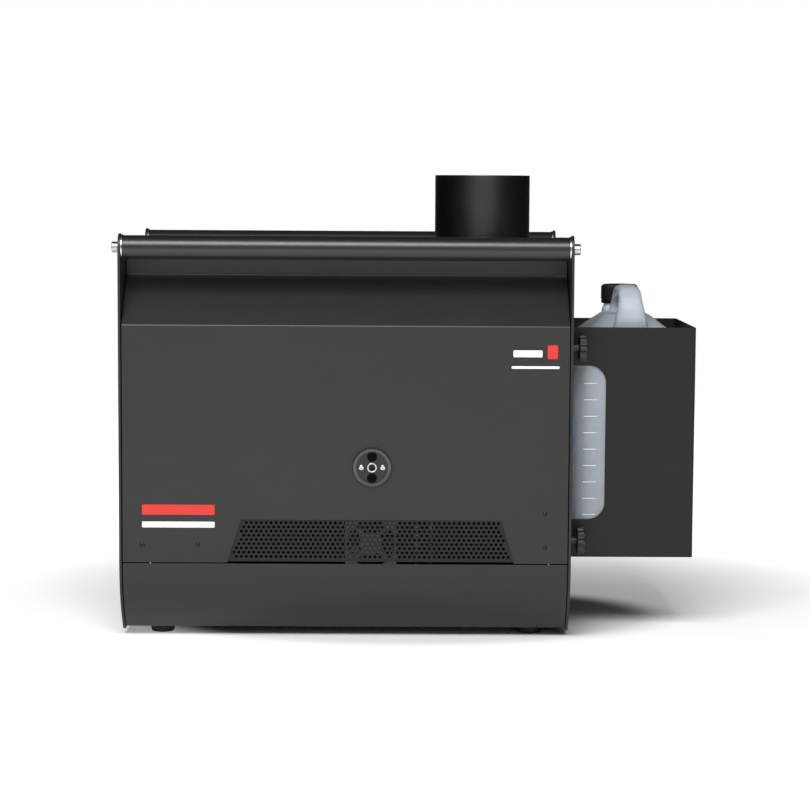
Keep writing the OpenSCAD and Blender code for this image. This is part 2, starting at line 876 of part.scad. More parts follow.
// Hose stub for the tank's suction hose, behind the tank holder
module fluid_inlet() {
  piece("#c9cacc") difference() {
    union() {
      rod_x(inner_x - 12, half_w + 3 + inlet_pin_len, inlet_y, inlet_z, inlet_pin_d);
      rod_x(half_w, half_w + 3, inlet_y, inlet_z, 17);
      rod_x(inner_x - 4, inner_x, inlet_y, inlet_z, 16);
    }
    rod_x(inner_x - 8, half_w + 30, inlet_y, inlet_z, 5);
  }
}

// ---------- Electronics ----------

board_y = 130;
board_size = [140, 130];

module control_board() {
  piece("#1f5b3a") translate([control_x, 0, control_z]) {
    along_y(board_y - 1.6, board_y) square(board_size, center = true);
    for (x = [-1, 1], z = [-1, 1])
      rod_y(board_y, control_face_y - sheet_t, x * 64, z * 59, 6);
    for (x = [-38, 2, 42])
      block([x - 12, board_y - 9, -40], [x + 12, board_y - 1.6, -22]);
    block([-30, board_y - 5, 5], [-2, board_y - 1.6, 33]);
    for (x = [18, 36, 54])
      rod_y(board_y - 20, board_y - 1.6, x, 30, 12);
  }
}

module power_supply() {
  piece("#b4b6b8") difference() {
    block([-inner_x, -80, 250], [-inner_x + 38, 80, 348]);
    block([-inner_x + 2, -78, 252], [-inner_x + 39, 60, 346]);
  }
}

module solid_state_relays() {
  piece("#2f3033") for (y = [-75, -20])
    block([-inner_x, y, 130], [-inner_x + 25, y + 45, 188]);
}

module terminal_block() {
  piece("#e2e0d6") difference() {
    block([-208, 94, floor_z], [-108, 118, floor_z + 22]);
    for (i = [0:7])
      translate([-201 + i * 12.3, 106, floor_z + 10]) cylinder(d = 6, h = 20);
  }
}

module cooling_fan_housing() {
  piece("#2b2b2c") translate([cool_x, -grille_y + grille_t, cool_z]) rotate([-90, 0, 0])
    fan_frame(cool_size, cool_size - 4, cool_h, 26);
}

module cooling_fan_rotor() {
  piece("#1f1f20") translate([cool_x, -grille_y + grille_t, cool_z]) rotate([-90, 0, 0])
    fan_rotor(cool_size - 4, cool_h, 26, 7);
}

// ---------- Rear control panel ----------

button_places = [for (i = [0:3]) control_x + (i - 1.5) * button_pitch];
switch_size = [21, 27];
display_size = [66, 24];

module control_panel() {
  y0 = control_face_y - sheet_t;
  piece("#323234") difference() {
    along_y(y0, control_face_y) translate([control_x, control_z])
      square([control_w + 2 * control_lap, control_h + 2 * control_lap], center = true);
    along_y(y0 - e, control_face_y + e) {
      translate([control_x, display_z]) square(display_size, center = true);
      translate([switch_x, socket_z]) square(switch_size, center = true);
      for (x = button_places) translate([x, button_z]) circle(d = button_d + 0.6);
      for (x = socket_x) translate([x, socket_z]) circle(d = 24);
      translate([inlet_power_x, lower_z]) circle(d = 24);
      translate([breaker_x, lower_z]) circle(d = 10.4);
      for (p = control_screws) translate(p) circle(d = 3.4);
    }
  }
}

module display_module() {
  y0 = control_face_y - sheet_t;
  piece("#3e5a66") {
    along_y(y0 - 10, y0) translate([control_x, display_z]) square([80, 36], center = true);
    along_y(y0 - e, control_face_y - 0.3) translate([control_x, display_z])
      square([display_size[0] - 0.4, display_size[1] - 0.4], center = true);
  }
}

// Push button number i, with a collar that keeps it behind the panel
module menu_button(i) {
  y0 = control_face_y - sheet_t;
  piece("#26272a") {
    rod_y(y0 - 3, control_face_y + 3, button_places[i], button_z, button_d);
    rod_y(y0 - 3, y0 - 0.2, button_places[i], button_z, button_d + 3);
  }
}

module menu_button_back() {
  menu_button(0);
}

module menu_button_down() {
  menu_button(1);
}

module menu_button_up() {
  menu_button(2);
}

module menu_button_enter() {
  menu_button(3);
}

rocker_tilt = 8;
rocker_y = control_face_y - 3;

// Rocker that turns about an X axis just behind the panel's face
module power_switch() {
  piece("#17181a") translate([switch_x, rocker_y, socket_z]) rotate([rocker_tilt, 0, 0])
    along_x(-9.5, 9.5) difference() {
      translate([-7, -11.5]) square([12.5, 23]);
      translate([26.2, 0]) circle(22);
    }
}

// Housing and bezel round the rocker
module switch_housing() {
  room = [19.6, 25.2];
  piece("#2a2b2d") translate([switch_x, 0, socket_z]) difference() {
    union() {
      along_y(rocker_y - 14, control_face_y + e)
        square([switch_size[0] - 0.2, switch_size[1] - 0.2], center = true);
      along_y(control_face_y, control_face_y + 1)
        round_rect(switch_size[0] + 4, switch_size[1] + 4, 1.5);
    }
    along_y(rocker_y - 9.5, control_face_y + 2) square(room, center = true);
  }
}

// Panel connector: flange, barrel behind the panel and a round socket
module connector(x, z, bore) {
  y0 = control_face_y;
  difference() {
    union() {
      along_y(y0, y0 + 2) translate([x, z]) round_rect(flange_size[0], flange_size[1], 2);
      rod_y(y0 - 24, y0 + 1, x, z, 23.6);
    }
    rod_y(y0 - 18, y0 + 3, x, z, bore);
    for (s = [-1, 1]) rod_y(y0 - 1, y0 + 3, x + s * 9.5, z + s * 12, 3.2);
  }
}

module power_inlet() {
  piece("#3a4a66") {
    connector(inlet_power_x, lower_z, power_bore_d);
    rod_y(control_face_y - 18, control_face_y - 4, inlet_power_x, lower_z, 8);
  }
}

module data_sockets() {
  piece("#8d8f92") {
    connector(socket_x[0], socket_z, socket_bore_d);
    connector(socket_x[1], socket_z, socket_bore_d);
    for (x = socket_x, a = [30:75:330])
      rod_y(
        control_face_y - 18, control_face_y - 8,
        x + 4.8 * cos(a), socket_z + 4.8 * sin(a), 2
      );
  }
}

module circuit_breaker() {
  y0 = control_face_y - sheet_t;
  piece("#2a2b2d") difference() {
    union() {
      block([breaker_x - 9, y0 - 30, lower_z - 14], [breaker_x + 9, y0, lower_z + 14]);
      rod_y(y0 - 1, control_face_y + 1.5, breaker_x, lower_z, 10);
    }
    rod_y(y0 - 12, control_face_y + 2, breaker_x, lower_z, 6.2);
  }
}

module breaker_button() {
  piece("#b03127") rod_y(control_face_y - 10, control_face_y + 2.5, breaker_x, lower_z, 6);
}

// ---------- Tank holder ----------

module holder_studs() {
  piece("#c9cacc") for (y = [-stud_y, stud_y], z = stud_z) {
    rod_x(inner_x - 1.5, knob_x + 5, y, z, stud_d);
    rod_x(inner_x - 1.5, inner_x, y, z, 9);
  }
}

// Open-topped holder with a raised floor, and flanges that reach past it for the studs
module tank_holder() {
  z0 = holder_bottom_z;
  z1 = holder_top_z;
  y = holder_y;
  t = holder_t;
  window_h = window_z[1] - window_z[0];
  piece("#353435") difference() {
    union() {
      block([half_w, -holder_flange_y, z0], [half_w + t, holder_flange_y, z1]);
      block([half_w, -y, z0], [holder_right, t - y, z1]);
      block([half_w, y - t, z0], [holder_right, y, z1]);
      block([holder_right - t, -y, z0], [holder_right, y, z1]);
      block([half_w, -y, shelf_z - t], [holder_right, y, shelf_z]);
    }
    along_y(-y - e, t - y + e)
      translate([half_w + t, (window_z[0] + window_z[1]) / 2])
        intersection() {
          round_rect(2 * (window_w - t), window_h, window_r);
          translate([0, -window_h]) square([window_w, 2 * window_h]);
        }
    for (y = [-stud_y, stud_y], z = stud_z)
      rod_x(half_w - e, half_w + t + e, y, z, stud_d + 0.6);
    block(
      [half_w - e, inlet_y - inlet_notch / 2, inlet_z - inlet_notch / 2],
      [half_w + t + e, holder_flange_y + e, inlet_z + inlet_notch / 2]
    );
  }
}

// Star knob on the stud at (y, z), with a metal hub that presses on the holder's flange
module star_knob(y, z) {
  lobes = 8;
  x0 = half_w + holder_t + 0.1;
  piece("#1b1b1c") difference() {
    union() {
      translate([knob_x, y, z]) rotate([0, 90, 0]) linear_extrude(knob_t) difference() {
        circle(d = knob_d);
        for (i = [0:lobes - 1])
          rotate((i + 0.5) * 360 / lobes) translate([knob_d / 2 + 2.2, 0]) circle(4.6);
      }
      rod_x(x0, knob_x + 1, y, z, knob_hub_d);
    }
    rod_x(x0 - 1, knob_x + 5.3, y, z, stud_d + 0.12);
  }
}

module star_knob_front_top() {
  star_knob(-stud_y, stud_z[1]);
}

module star_knob_front_bottom() {
  star_knob(-stud_y, stud_z[0]);
}

module star_knob_rear_top() {
  star_knob(stud_y, stud_z[1]);
}

module star_knob_rear_bottom() {
  star_knob(stud_y, stud_z[0]);
}

// ---------- Tank ----------

// Outside of the tank's body shrunk by m on every side: straight walls and sloped shoulders
module tank_form(m) {
  w = tank_w / 2 - m;
  d = tank_d / 2 - m;
  z0 = tank_z + m;
  z1 = tank_wall_z - m * 0.41;
  top = tank_deck_z - m;
  rise = top - z1;
  intersection() {
    translate([tank_x, 0, z0]) linear_extrude(top - z0) round_rect(2 * w, 2 * d, 24 - m);
    translate([tank_x, 0, 0]) along_y(-d - 1, d + 1) polygon([
      [-w, z0 - 1], [w, z0 - 1], [w, z1], [w - rise, top + 0.01], [rise - w, top + 0.01], [-w, z1]
    ]);
    along_x(tank_x - w - 1, tank_x + w + 1) polygon([
      [-d, z0 - 1], [d, z0 - 1], [d, z1], [d - rise, top + 0.01], [rise - d, top + 0.01], [-d, z1]
    ]);
  }
}

// Grip over the deck, drawn as (y, z)
module tank_grip() {
  y0 = tank_handle_y[0];
  y1 = tank_handle_y[1];
  difference() {
    polygon(rounded([
      [y0, tank_wall_z + 6, 4], [y0 + 6, tank_handle_top_z, 14], [y1, tank_handle_top_z, 18],
      [y1 + 4, tank_deck_z - 6, 4]
    ]));
    polygon(rounded([
      [y0 + 24, tank_wall_z + 22, 6], [y0 + 28, tank_handle_top_z - 15, 8],
      [y1 - 16, tank_handle_top_z - 15, 8], [y1 - 12, tank_wall_z + 22, 6]
    ]));
  }
}

module fluid_tank() {
  w = tank_handle_w / 2;
  piece("#e9ecef") difference() {
    union() {
      difference() {
        tank_form(0);
        tank_form(tank_t);
      }
      difference() {
        along_x(tank_x - w, tank_x + w) tank_grip();
        tank_form(0.01);
      }
      translate([tank_x, neck_y, tank_deck_z - 30]) cylinder(d = neck_d, h = neck_top_z - tank_deck_z + 30);
    }
    translate([tank_x, neck_y, tank_deck_z - 40]) cylinder(d = neck_d - 5, h = 80);
  }
}

module tank_cap() {
  piece("#17171a") translate([tank_x, neck_y, cap_bottom_z]) difference() {
    cylinder(d = cap_d, h = cap_h);
    translate([0, 0, -e]) cylinder(d = neck_d + 0.8, h = neck_top_z - cap_bottom_z + 0.4 + e);
  }
}

side_plate_left();
side_plate_right();
base_pan();
front_panel();
front_grille();
rear_panel();
top_panel();
control_panel();
front_handle_tube();
rear_handle_tube();
handle_end_plugs();
handle_screws();
front_rosette();
rear_rosette();
rosette_screws();
rosette_backing_plates();
outlet_duct();
duct_flange();
jet_fan_housing();
jet_fan_rotor();
jet_fan_guard();
fan_stand();
heater_blocks();
heater_rods();
heater_jacket();
heater_cradle();
thermostats();
nozzle_pipes();
fluid_pump();
pump_bracket();
suction_line();
pressure_line();
fluid_inlet();
control_board();
power_supply();
solid_state_relays();
terminal_block();
cooling_fan_housing();
cooling_fan_rotor();
display_module();
menu_button_back();
menu_button_down();
menu_button_up();
menu_button_enter();
power_switch();
switch_housing();
power_inlet();
circuit_breaker();
breaker_button();
data_sockets();
rubber_feet();
panel_screws();
holder_studs();
tank_holder();
star_knob_front_top();
star_knob_front_bottom();
star_knob_rear_top();
star_knob_rear_bottom();
fluid_tank();
tank_cap();
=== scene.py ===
"""Looks of the upright smoke machine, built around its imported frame."""

from math import atan2, ceil, copysign, cos, pi, radians, sin, tan

import bmesh
import bpy
from mathutils import Matrix, Vector
from mathutils.geometry import delaunay_2d_cdt

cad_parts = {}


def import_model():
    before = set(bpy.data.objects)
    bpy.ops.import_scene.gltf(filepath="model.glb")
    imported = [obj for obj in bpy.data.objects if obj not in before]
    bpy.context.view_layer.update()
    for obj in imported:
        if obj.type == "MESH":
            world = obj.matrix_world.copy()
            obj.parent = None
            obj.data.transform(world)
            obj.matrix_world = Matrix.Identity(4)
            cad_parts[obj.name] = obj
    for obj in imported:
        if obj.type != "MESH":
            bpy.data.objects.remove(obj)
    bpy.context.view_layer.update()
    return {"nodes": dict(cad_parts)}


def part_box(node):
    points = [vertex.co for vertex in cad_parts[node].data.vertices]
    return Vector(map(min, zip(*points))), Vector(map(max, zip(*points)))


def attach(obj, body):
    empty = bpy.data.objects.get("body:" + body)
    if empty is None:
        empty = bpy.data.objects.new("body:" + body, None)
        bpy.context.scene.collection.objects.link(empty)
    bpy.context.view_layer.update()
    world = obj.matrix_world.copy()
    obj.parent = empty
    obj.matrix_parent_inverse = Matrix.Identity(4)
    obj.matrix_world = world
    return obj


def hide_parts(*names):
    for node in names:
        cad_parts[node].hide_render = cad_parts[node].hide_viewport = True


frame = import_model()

scene = bpy.context.scene
TAU = 2 * pi


# ---------- Sizes, in metres, from the frame ----------

def low(node):
    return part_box(node)[0]


def high(node):
    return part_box(node)[1]


def middle(node):
    return (low(node) + high(node)) / 2


PLATE_T = 0.003
SHEET_T = 0.0015
LAP = 0.0002
CX = middle("base_pan").x
HALF_W = CX - low("side_plate_left").x
INNER_X = HALF_W - PLATE_T
PANEL_X = CX - low("front_panel").x
HALF_D = high("side_plate_left").y
FACE_Y = high("rear_panel").y
WALL_Y = high("top_panel").y
TOP_Z = high("top_panel").z
PLATE_LOW_Z = low("side_plate_left").z
LOBE_R = 0.016
HANDLE = middle("front_handle_tube")
HANDLE_R = (high("front_handle_tube").z - low("front_handle_tube").z) / 2
PAN_LOW_Z = low("base_pan").z
SEAM_HALF = 0.0006
SEAM_Z = high("base_pan").z + SEAM_HALF
PANEL_LOW_Z = SEAM_Z + SEAM_HALF
CREASE_Z = 0.371
LEAN_TOP_Z = 0.428
BELLY_R = 0.113
BELLY_TURN = radians(44.5)
BELLY_CORNER_Z = SEAM_Z - BELLY_R * tan(BELLY_TURN / 2)
GRILLE_TOP_Z = 0.1435
GRILLE_TOP_X = (-0.122, 0.183)
GRILLE_LOW_X = (-0.1385, 0.198)
ROSETTE = middle("front_rosette")
ROSETTE_R = (high("front_rosette").x - low("front_rosette").x) / 2
DISC_T = -low("front_rosette").y - FACE_Y
DISC_SCREW_R = 0.0125
DUCT = middle("outlet_duct")
DUCT_R = (high("outlet_duct").x - low("outlet_duct").x) / 2
NECK_R = DUCT_R - 0.001
DUCT_SCREW_R = 0.068
DUCT_SCREWS = [
    (DUCT_SCREW_R * cos(a), DUCT_SCREW_R * sin(a)) for a in (radians(30 + 60 * k) for k in range(6))
]
DUCT_LOW_Z, DUCT_TOP_Z = low("outlet_duct").z, high("outlet_duct").z
HOLDER_LOW, HOLDER_HIGH = low("tank_holder"), high("tank_holder")
HOLDER_Y = 0.098
SHELF_Z = 0.115
WINDOW = (0.045, 0.136, 0.321, 0.02)
STUD_Y = 0.124
STUD_Z = (0.114, 0.344)
PLATE_SCREWS = [
    (s * (FACE_Y - 0.011), z) for s in (-1, 1) for z in (0.114, 0.23, 0.352)
]
FOOT_SPOTS = [(x * 0.22, y * 0.105) for x in (-1, 1) for y in (-1, 1)]
FRONT_SCREWS = [(-0.238, 0.113), (-0.173, 0.114), (0.234, 0.112), (0.234, 0.152)]
CONTROL = (-0.15, 0.235, 0.15, 0.18)
CONTROL_SCREWS = [
    (CONTROL[0] + sx * (CONTROL[2] / 2 + 0.004), CONTROL[1] + sz * (CONTROL[3] / 2 - 0.012))
    for sx in (-1, 1) for sz in (-1, 1)
]


# ---------- Outlines ----------

def arc(a, b, c, r, steps=None):
    """Points that round corner b, on the way from a to c, with radius r."""
    a, b, c = Vector(a[:2]), Vector(b[:2]), Vector(c[:2])
    d0, d1 = (b - a).normalized(), (c - b).normalized()
    turn = atan2(d0.x * d1.y - d0.y * d1.x, d0.dot(d1))
    if r <= 0 or abs(turn) < 1e-6:
        return [b]
    side = copysign(1, turn)
    n0 = Vector((-d0.y, d0.x))
    centre = b - d0 * r * tan(abs(turn) / 2) + side * r * n0
    count = steps or max(3, ceil(abs(turn) / radians(9)))
    points = []
    for k in range(count + 1):
        t = turn * k / count
        n = Vector((n0.x * cos(t) - n0.y * sin(t), n0.x * sin(t) + n0.y * cos(t)))
        points.append(centre - side * r * n)
    return points


def rounded(corners):
    """Closed outline with every corner (u, v, radius) rounded."""
    n = len(corners)
    return [
        p for i in range(n)
        for p in arc(corners[i - 1], corners[i], corners[(i + 1) % n], corners[i][2])
    ]


def rectangle(u0, v0, u1, v1, r):
    return rounded([(u0, v0, r), (u1, v0, r), (u1, v1, r), (u0, v1, r)])


def circle(u, v, r, n=32):
    return [Vector((u + r * cos(TAU * k / n), v + r * sin(TAU * k / n))) for k in range(n)]


def fold(corners):
    """Path through corners (a, b, bend radius): its bend stations, and where it is at a length."""
    points = [Vector(corners[0][:2])]
    for i in range(1, len(corners) - 1):
        points += arc(corners[i - 1], corners[i], corners[i + 1], corners[i][2])
    points.append(Vector(corners[-1][:2]))
    lengths = [0.0]
    for p, q in zip(points, points[1:]):
        lengths.append(lengths[-1] + (q - p).length)
    ways = [(q - p).normalized() for p, q in zip(points, points[1:])]
    normals = [ways[0]] + [(a + b).normalized() for a, b in zip(ways, ways[1:])] + [ways[-1]]
    normals = [Vector((-w.y, w.x)) for w in normals]

    def along(v):
        i = 0
        while i < len(points) - 2 and v > lengths[i + 1]:
            i += 1
        t = (v - lengths[i]) / (lengths[i + 1] - lengths[i])
        if t <= 0 or t >= 1:
            n = normals[i] if t <= 0 else normals[i + 1]
        else:
            n = normals[i].lerp(normals[i + 1], t).normalized()
            if i == 0 or i == len(points) - 2 or lengths[i + 1] - lengths[i] > 0.004:
                n = Vector((-ways[i].y, ways[i].x)) if 1e-4 < t < 1 - 1e-4 else n
        return points[i].lerp(points[i + 1], t), n

    return lengths, along


# ---------- Meshes ----------

def joined(*parts):
    """One (points, faces) part out of several."""
    points, faces = [], []
    for more_points, more_faces in parts:
        base = len(points)
        points += [Vector(p) for p in more_points]
        faces += [tuple(base + i for i in f) for f in more_faces]
    return points, faces


def moved(part, matrix):
    flip = matrix.to_3x3().determinant() < 0
    return [matrix @ Vector(p) for p in part[0]], [tuple(reversed(f)) if flip else f for f in part[1]]


def at(x, y, z):
    return Matrix.Translation((x, y, z))


def facing(way):
    """Turns a part drawn along +Z so that it points along an axis."""
    return Vector((0, 0, 1)).rotation_difference(Vector(way)).to_matrix().to_4x4()


def loop_area(loop):
    return sum(p.x * q.y - q.x * p.y for p, q in zip(loop, loop[1:] + loop[:1])) / 2


def inset(loop, amount):
    """The loop moved to its left by an amount, corner by corner."""
    out = []
    n = len(loop)
    for i in range(n):
        a, b, c = loop[i - 1], loop[i], loop[(i + 1) % n]
        d0, d1 = (b - a).normalized(), (c - b).normalized()
        n0, n1 = Vector((-d0.y, d0.x)), Vector((-d1.y, d1.x))
        m = n0 + n1
        out.append(b + m * amount * (2 / max(m.length_squared, 0.6)))
    return out


def split_at(loop, stations):
    """The loop with a point added wherever it crosses a station."""
    out = []
    for p, q in zip(loop, loop[1:] + loop[:1]):
        out.append(p)
        cuts = [s for s in stations if min(p.y, q.y) + 1e-7 < s < max(p.y, q.y) - 1e-7]
        for s in sorted(cuts, reverse=q.y < p.y):
            out.append(p.lerp(q, (s - p.y) / (q.y - p.y)))
    return out


def plate(loops, thickness, edge=0.0003, stations=(), steps=3, place=None):
    """Sheet with an outline, holes and rounded edges. Its upper face is at w = 0.

    A point of it is (u, v, w), and place says where that is in space.
    """
    place = place or (lambda u, v, w: (u, v, w))
    loops = [list(map(Vector, loop)) for loop in loops]
    loops = [
        loop if (loop_area(loop) > 0) == (i == 0) else loop[::-1] for i, loop in enumerate(loops)
    ]
    loops = [split_at(loop, stations) for loop in loops]
    turns = [pi / 2 * k / steps for k in range(steps + 1)]
    levels = [(edge * (1 - sin(t)), -edge * (1 - cos(t))) for t in turns]
    levels += [(i, -thickness - w) for i, w in reversed(levels)]
    points, faces, starts = [], [], []
    for loop in loops:
        starts.append(len(points))
        n = len(loop)
        for amount, w in levels:
            points += [Vector(place(p.x, p.y, w)) for p in inset(loop, amount)]
        for k in range(len(levels) - 1):
            a = starts[-1] + k * n
            for i in range(n):
                j = (i + 1) % n
                faces.append((a + i, a + n + i, a + n + j, a + j))
    flat = [inset(loop, edge) for loop in loops]
    verts = [p for loop in flat for p in loop]
    owner = [(k, i) for k, loop in enumerate(flat) for i in range(len(loop))]
    rings, base = [], 0
    for k, loop in enumerate(flat):
        ring = list(range(base, base + len(loop)))
        rings.append(ring[::-1] if k else ring)
        base += len(loop)
    lines = []
    for s in stations:
        row = sorted((p.x, i) for i, p in enumerate(verts) if abs(p.y - s) < 1e-6)
        lines += [(a[1], b[1]) for a, b in zip(row[::2], row[1::2])]
    new, _, tris, old, _, inside = delaunay_2d_cdt(verts, lines, rings, 0, 1e-9)
    index = {}
    for level in (0, len(levels) - 1):
        for i, sources in enumerate(old):
            if sources:
                k, j = owner[sources[0]]
                index[level, i] = starts[k] + level * len(loops[k]) + j
            else:
                index[level, i] = len(points)
                points.append(Vector(place(new[i].x, new[i].y, levels[level][1])))
        for tri, sources in zip(tris, inside):
            if list(sources) == [0]:
                ids = tuple(index[level, i] for i in tri)
                faces.append(ids if level == 0 else ids[::-1])
    return points, faces


def lathe(profile, n=64):
    """Solid of revolution about Z from a closed profile of (radius, height), run anticlockwise."""
    points, faces, rows = [], [], []
    for r, z in profile:
        if r < 1e-9:
            rows.append([len(points)] * n)
            points.append(Vector((0, 0, z)))
        else:
            rows.append(list(range(len(points), len(points) + n)))
            points += [
                Vector((r * cos(TAU * k / n), r * sin(TAU * k / n), z)) for k in range(n)
            ]
    for a, b in zip(rows, rows[1:] + rows[:1]):
        for k in range(n):
            j = (k + 1) % n
            ids = tuple(dict.fromkeys((a[k], a[j], b[j], b[k])))
            if len(ids) > 2:
                faces.append(ids)
    return points, faces


def turned(corners, n=64):
    """Lathed solid from corners (radius, height, rounding)."""
    profile = [
        p for i, c in enumerate(corners)
        for p in arc(corners[i - 1], c, corners[(i + 1) % len(corners)], c[2], 3 if c[2] else None)
    ]
    return lathe([(p.x, p.y) for p in profile], n)


def bands(rows, n):
    """Quads between one ring of n points and the next."""
    return [
        (i * n + k, (i + 1) * n + k, (i + 1) * n + (k + 1) % n, i * n + (k + 1) % n)
        for i in range(rows - 1) for k in range(n)
    ]


def closed(points, n):
    """Solid over rings of n points, closed at its first and last ring."""
    ends = [tuple(range(n)), tuple(range(len(points) - n, len(points)))[::-1]]
    return points, bands(len(points) // n, n) + ends


def polar(rings, n):
    """Points of rings about Z. A ring is (radius, height), or a function of the angle."""
    points = []
    for ring in rings:
        for k in range(n):
            a = TAU * k / n
            r, z = ring(a) if callable(ring) else ring
            points.append(Vector((r * cos(a), r * sin(a), z)))
    return points


def hex_recess(r, top, bottom):
    """Two rings of a hexagonal recess with inner radius r."""
    def ring_at(z):
        return lambda a: (r / cos((a + pi / 6) % (pi / 3) - pi / 6), z)
    return ring_at(top), ring_at(bottom)


def mesh_of(name, part):
    mesh = bpy.data.meshes.new(name)
    mesh.from_pydata([tuple(p) for p in part[0]], [], part[1])
    return mesh


def in_scene(name, data):
    obj = bpy.data.objects.new(name, data)
    scene.collection.objects.link(obj)
    return obj


def piece(name, part, finish, body="chassis", node=None, sharp=38):
    """Makes a shown piece from a part, gives it its material and fastens it to its body."""
    mesh = mesh_of(name, part)
    solid = bmesh.new()
    solid.from_mesh(mesh)
    bmesh.ops.recalc_face_normals(solid, faces=solid.faces)
    solid.to_mesh(mesh)
    solid.free()
    mesh.materials.append(finish)
    mesh.shade_smooth()
    mesh.set_sharp_from_angle(angle=radians(sharp))
    obj = in_scene(name, mesh)
    obj.modifiers.new("normals", "WEIGHTED_NORMAL").keep_sharp = True
    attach(obj, body)
    if node:
        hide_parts(node)


def stand_in(node, part, finish, body="chassis", sharp=38):
    """Makes the piece that is shown in place of a CAD node."""
    piece("shown_" + node, part, finish, body, node, sharp)


# ---------- Materials ----------

def fill(tree, node, inputs):
    """Sets a node's inputs. Each is a value, or an output to link it to."""
    for socket, value in inputs.items():
        if isinstance(value, bpy.types.NodeSocket):
            tree.links.new(value, node.inputs[socket])
        else:
            node.inputs[socket].default_value = value


def add_node(tree, kind, inputs=None, **settings):
    node = tree.nodes.new("ShaderNode" + kind)
    for name, value in settings.items():
        setattr(node, name, value)
    fill(tree, node, inputs or {})
    return node


def coat(name, colour, rough=0.5, metal=0.0, mottle=0.1, spread=0.06, grain=700, bump=0.1,
         depth=0.0001, brushed=None, **sockets):
    """Procedural material: a colour that varies a little, uneven gloss and a fine surface grain."""
    mat = bpy.data.materials.new(name)
    mat.use_nodes = True
    tree = mat.node_tree
    where = add_node(tree, "TexCoord").outputs["Object"]
    if brushed:
        where = add_node(tree, "Mapping", {"Scale": brushed, "Vector": where}).outputs["Vector"]

    def noise(scale, detail, roughness=0.5):
        inputs = {"Scale": scale, "Detail": detail, "Roughness": roughness, "Vector": where}
        return add_node(tree, "TexNoise", inputs).outputs["Fac"]

    ramp = add_node(tree, "ValToRGB", {"Fac": noise(16, 5, 0.6)})
    for element, place, share in zip(ramp.color_ramp.elements, (0.3, 0.7), (1 - mottle, 1 + mottle)):
        element.position = place
        element.color = [min(1, c * share) for c in colour] + [1]
    gloss = add_node(tree, "MapRange", {
        "To Min": max(0.02, rough - spread), "To Max": min(1, rough + spread), "Value": noise(40, 4, 0.65)
    })
    relief = add_node(tree, "Bump", {"Strength": bump, "Distance": depth, "Height": noise(grain, 2)})
    fill(tree, tree.nodes["Principled BSDF"], {
        "Base Color": ramp.outputs["Color"], "Roughness": gloss.outputs["Result"],
        "Normal": relief.outputs["Normal"], "Metallic": metal,
        **{socket.replace("_", " "): value for socket, value in sockets.items()}
    })
    return mat


BLACK = (0.009, 0.0084, 0.0088)
POWDER = dict(rough=0.44, mottle=0.05, spread=0.05, grain=1300, bump=0.25, depth=0.00012)
body_coat = coat("body_powder_coat", BLACK, **POWDER)
holder_coat = coat("holder_powder_coat", (0.0045, 0.0043, 0.0045), Specular_IOR_Level=0.34, **POWDER)
handle_coat = coat("handle_powder_coat", (0.011, 0.0105, 0.011), 0.3, mottle=0.04, grain=1500, bump=0.15)
edge_coat = coat("side_plate_coat", BLACK, **POWDER)
control_coat = coat("control_panel_coat", (0.009, 0.009, 0.0095), 0.42, mottle=0.05, grain=1700, bump=0.2)
duct_coat = coat("duct_black", (0.003, 0.003, 0.0032), 0.24, mottle=0.06, grain=1500, bump=0.12,
                 Specular_IOR_Level=0.95)
zinc = coat("zinc_plated_steel", (0.42, 0.43, 0.45), 0.32, 1.0, mottle=0.12, spread=0.1, grain=900)
galvanised = coat("galvanised_sheet", (0.5, 0.51, 0.53), 0.42, 1.0, mottle=0.18, spread=0.12, grain=300)
bright = coat("bright_steel", (0.55, 0.56, 0.58), 0.22, 1.0, mottle=0.05, spread=0.06, bump=0.03)
anodised = coat("black_anodised", (0.006, 0.006, 0.0065), 0.42, 0.0, mottle=0.1, grain=1600, bump=0.1)
# Black oxide of the socket screws, made almost unreflective so that it also paints shade in the rosette
# hollows; the back disc in there gets it too.
hollow_shade_black = coat("black_oxide_with_painted_hollow_shade", (0.0015, 0.0015, 0.0016), 0.7, mottle=0.1, grain=1500,
                  Specular_IOR_Level=0.08)
worn = coat("worn_crests", (0.5, 0.46, 0.43), 0.4, 1.0, mottle=0.15, grain=1500)
black_screw = coat("black_oxide", (0.02, 0.02, 0.021), 0.36, 0.6, mottle=0.15, grain=1500)
knob_plastic = coat("knob_plastic", (0.012, 0.012, 0.013), 0.42, mottle=0.1, grain=1600, bump=0.2)
black_plastic = coat("black_plastic", (0.016, 0.016, 0.017), 0.48, mottle=0.1, grain=1200, bump=0.2)
fan_plastic = coat("fan_plastic", (0.02, 0.02, 0.021), 0.4, mottle=0.06, grain=1400, bump=0.1)
cap_plastic = coat("cap_plastic", (0.008, 0.008, 0.009), 0.34, mottle=0.08, grain=1500, bump=0.12)
rubber = coat("foot_rubber", (0.012, 0.012, 0.012), 0.8, mottle=0.2, grain=700, bump=0.35)
aluminium = coat(
    "heater_aluminium", (0.55, 0.56, 0.57), 0.38, 1.0, mottle=0.08, brushed=(0.08, 1, 1), bump=0.2)
rod_steel = coat("heater_rod_steel", (0.42, 0.4, 0.38), 0.34, 1.0, mottle=0.2, spread=0.1)
wool = coat("ceramic_wool", (0.72, 0.69, 0.6), 0.95, mottle=0.12, grain=260, bump=0.9, depth=0.0015)
ceramic = coat("thermostat_ceramic", (0.75, 0.66, 0.45), 0.4, mottle=0.06)
copper = coat("copper_pipe", (0.72, 0.34, 0.16), 0.28, 1.0, mottle=0.25, spread=0.12, bump=0.08)
hose = coat("clear_hose", (0.62, 0.66, 0.68), 0.2, mottle=0.05, Transmission_Weight=0.5, IOR=1.42)
board = coat("circuit_board", (0.012, 0.09, 0.035), 0.3, mottle=0.3, grain=500, bump=0.25)
terminal = coat("terminal_plastic", (0.7, 0.68, 0.6), 0.45, mottle=0.04)
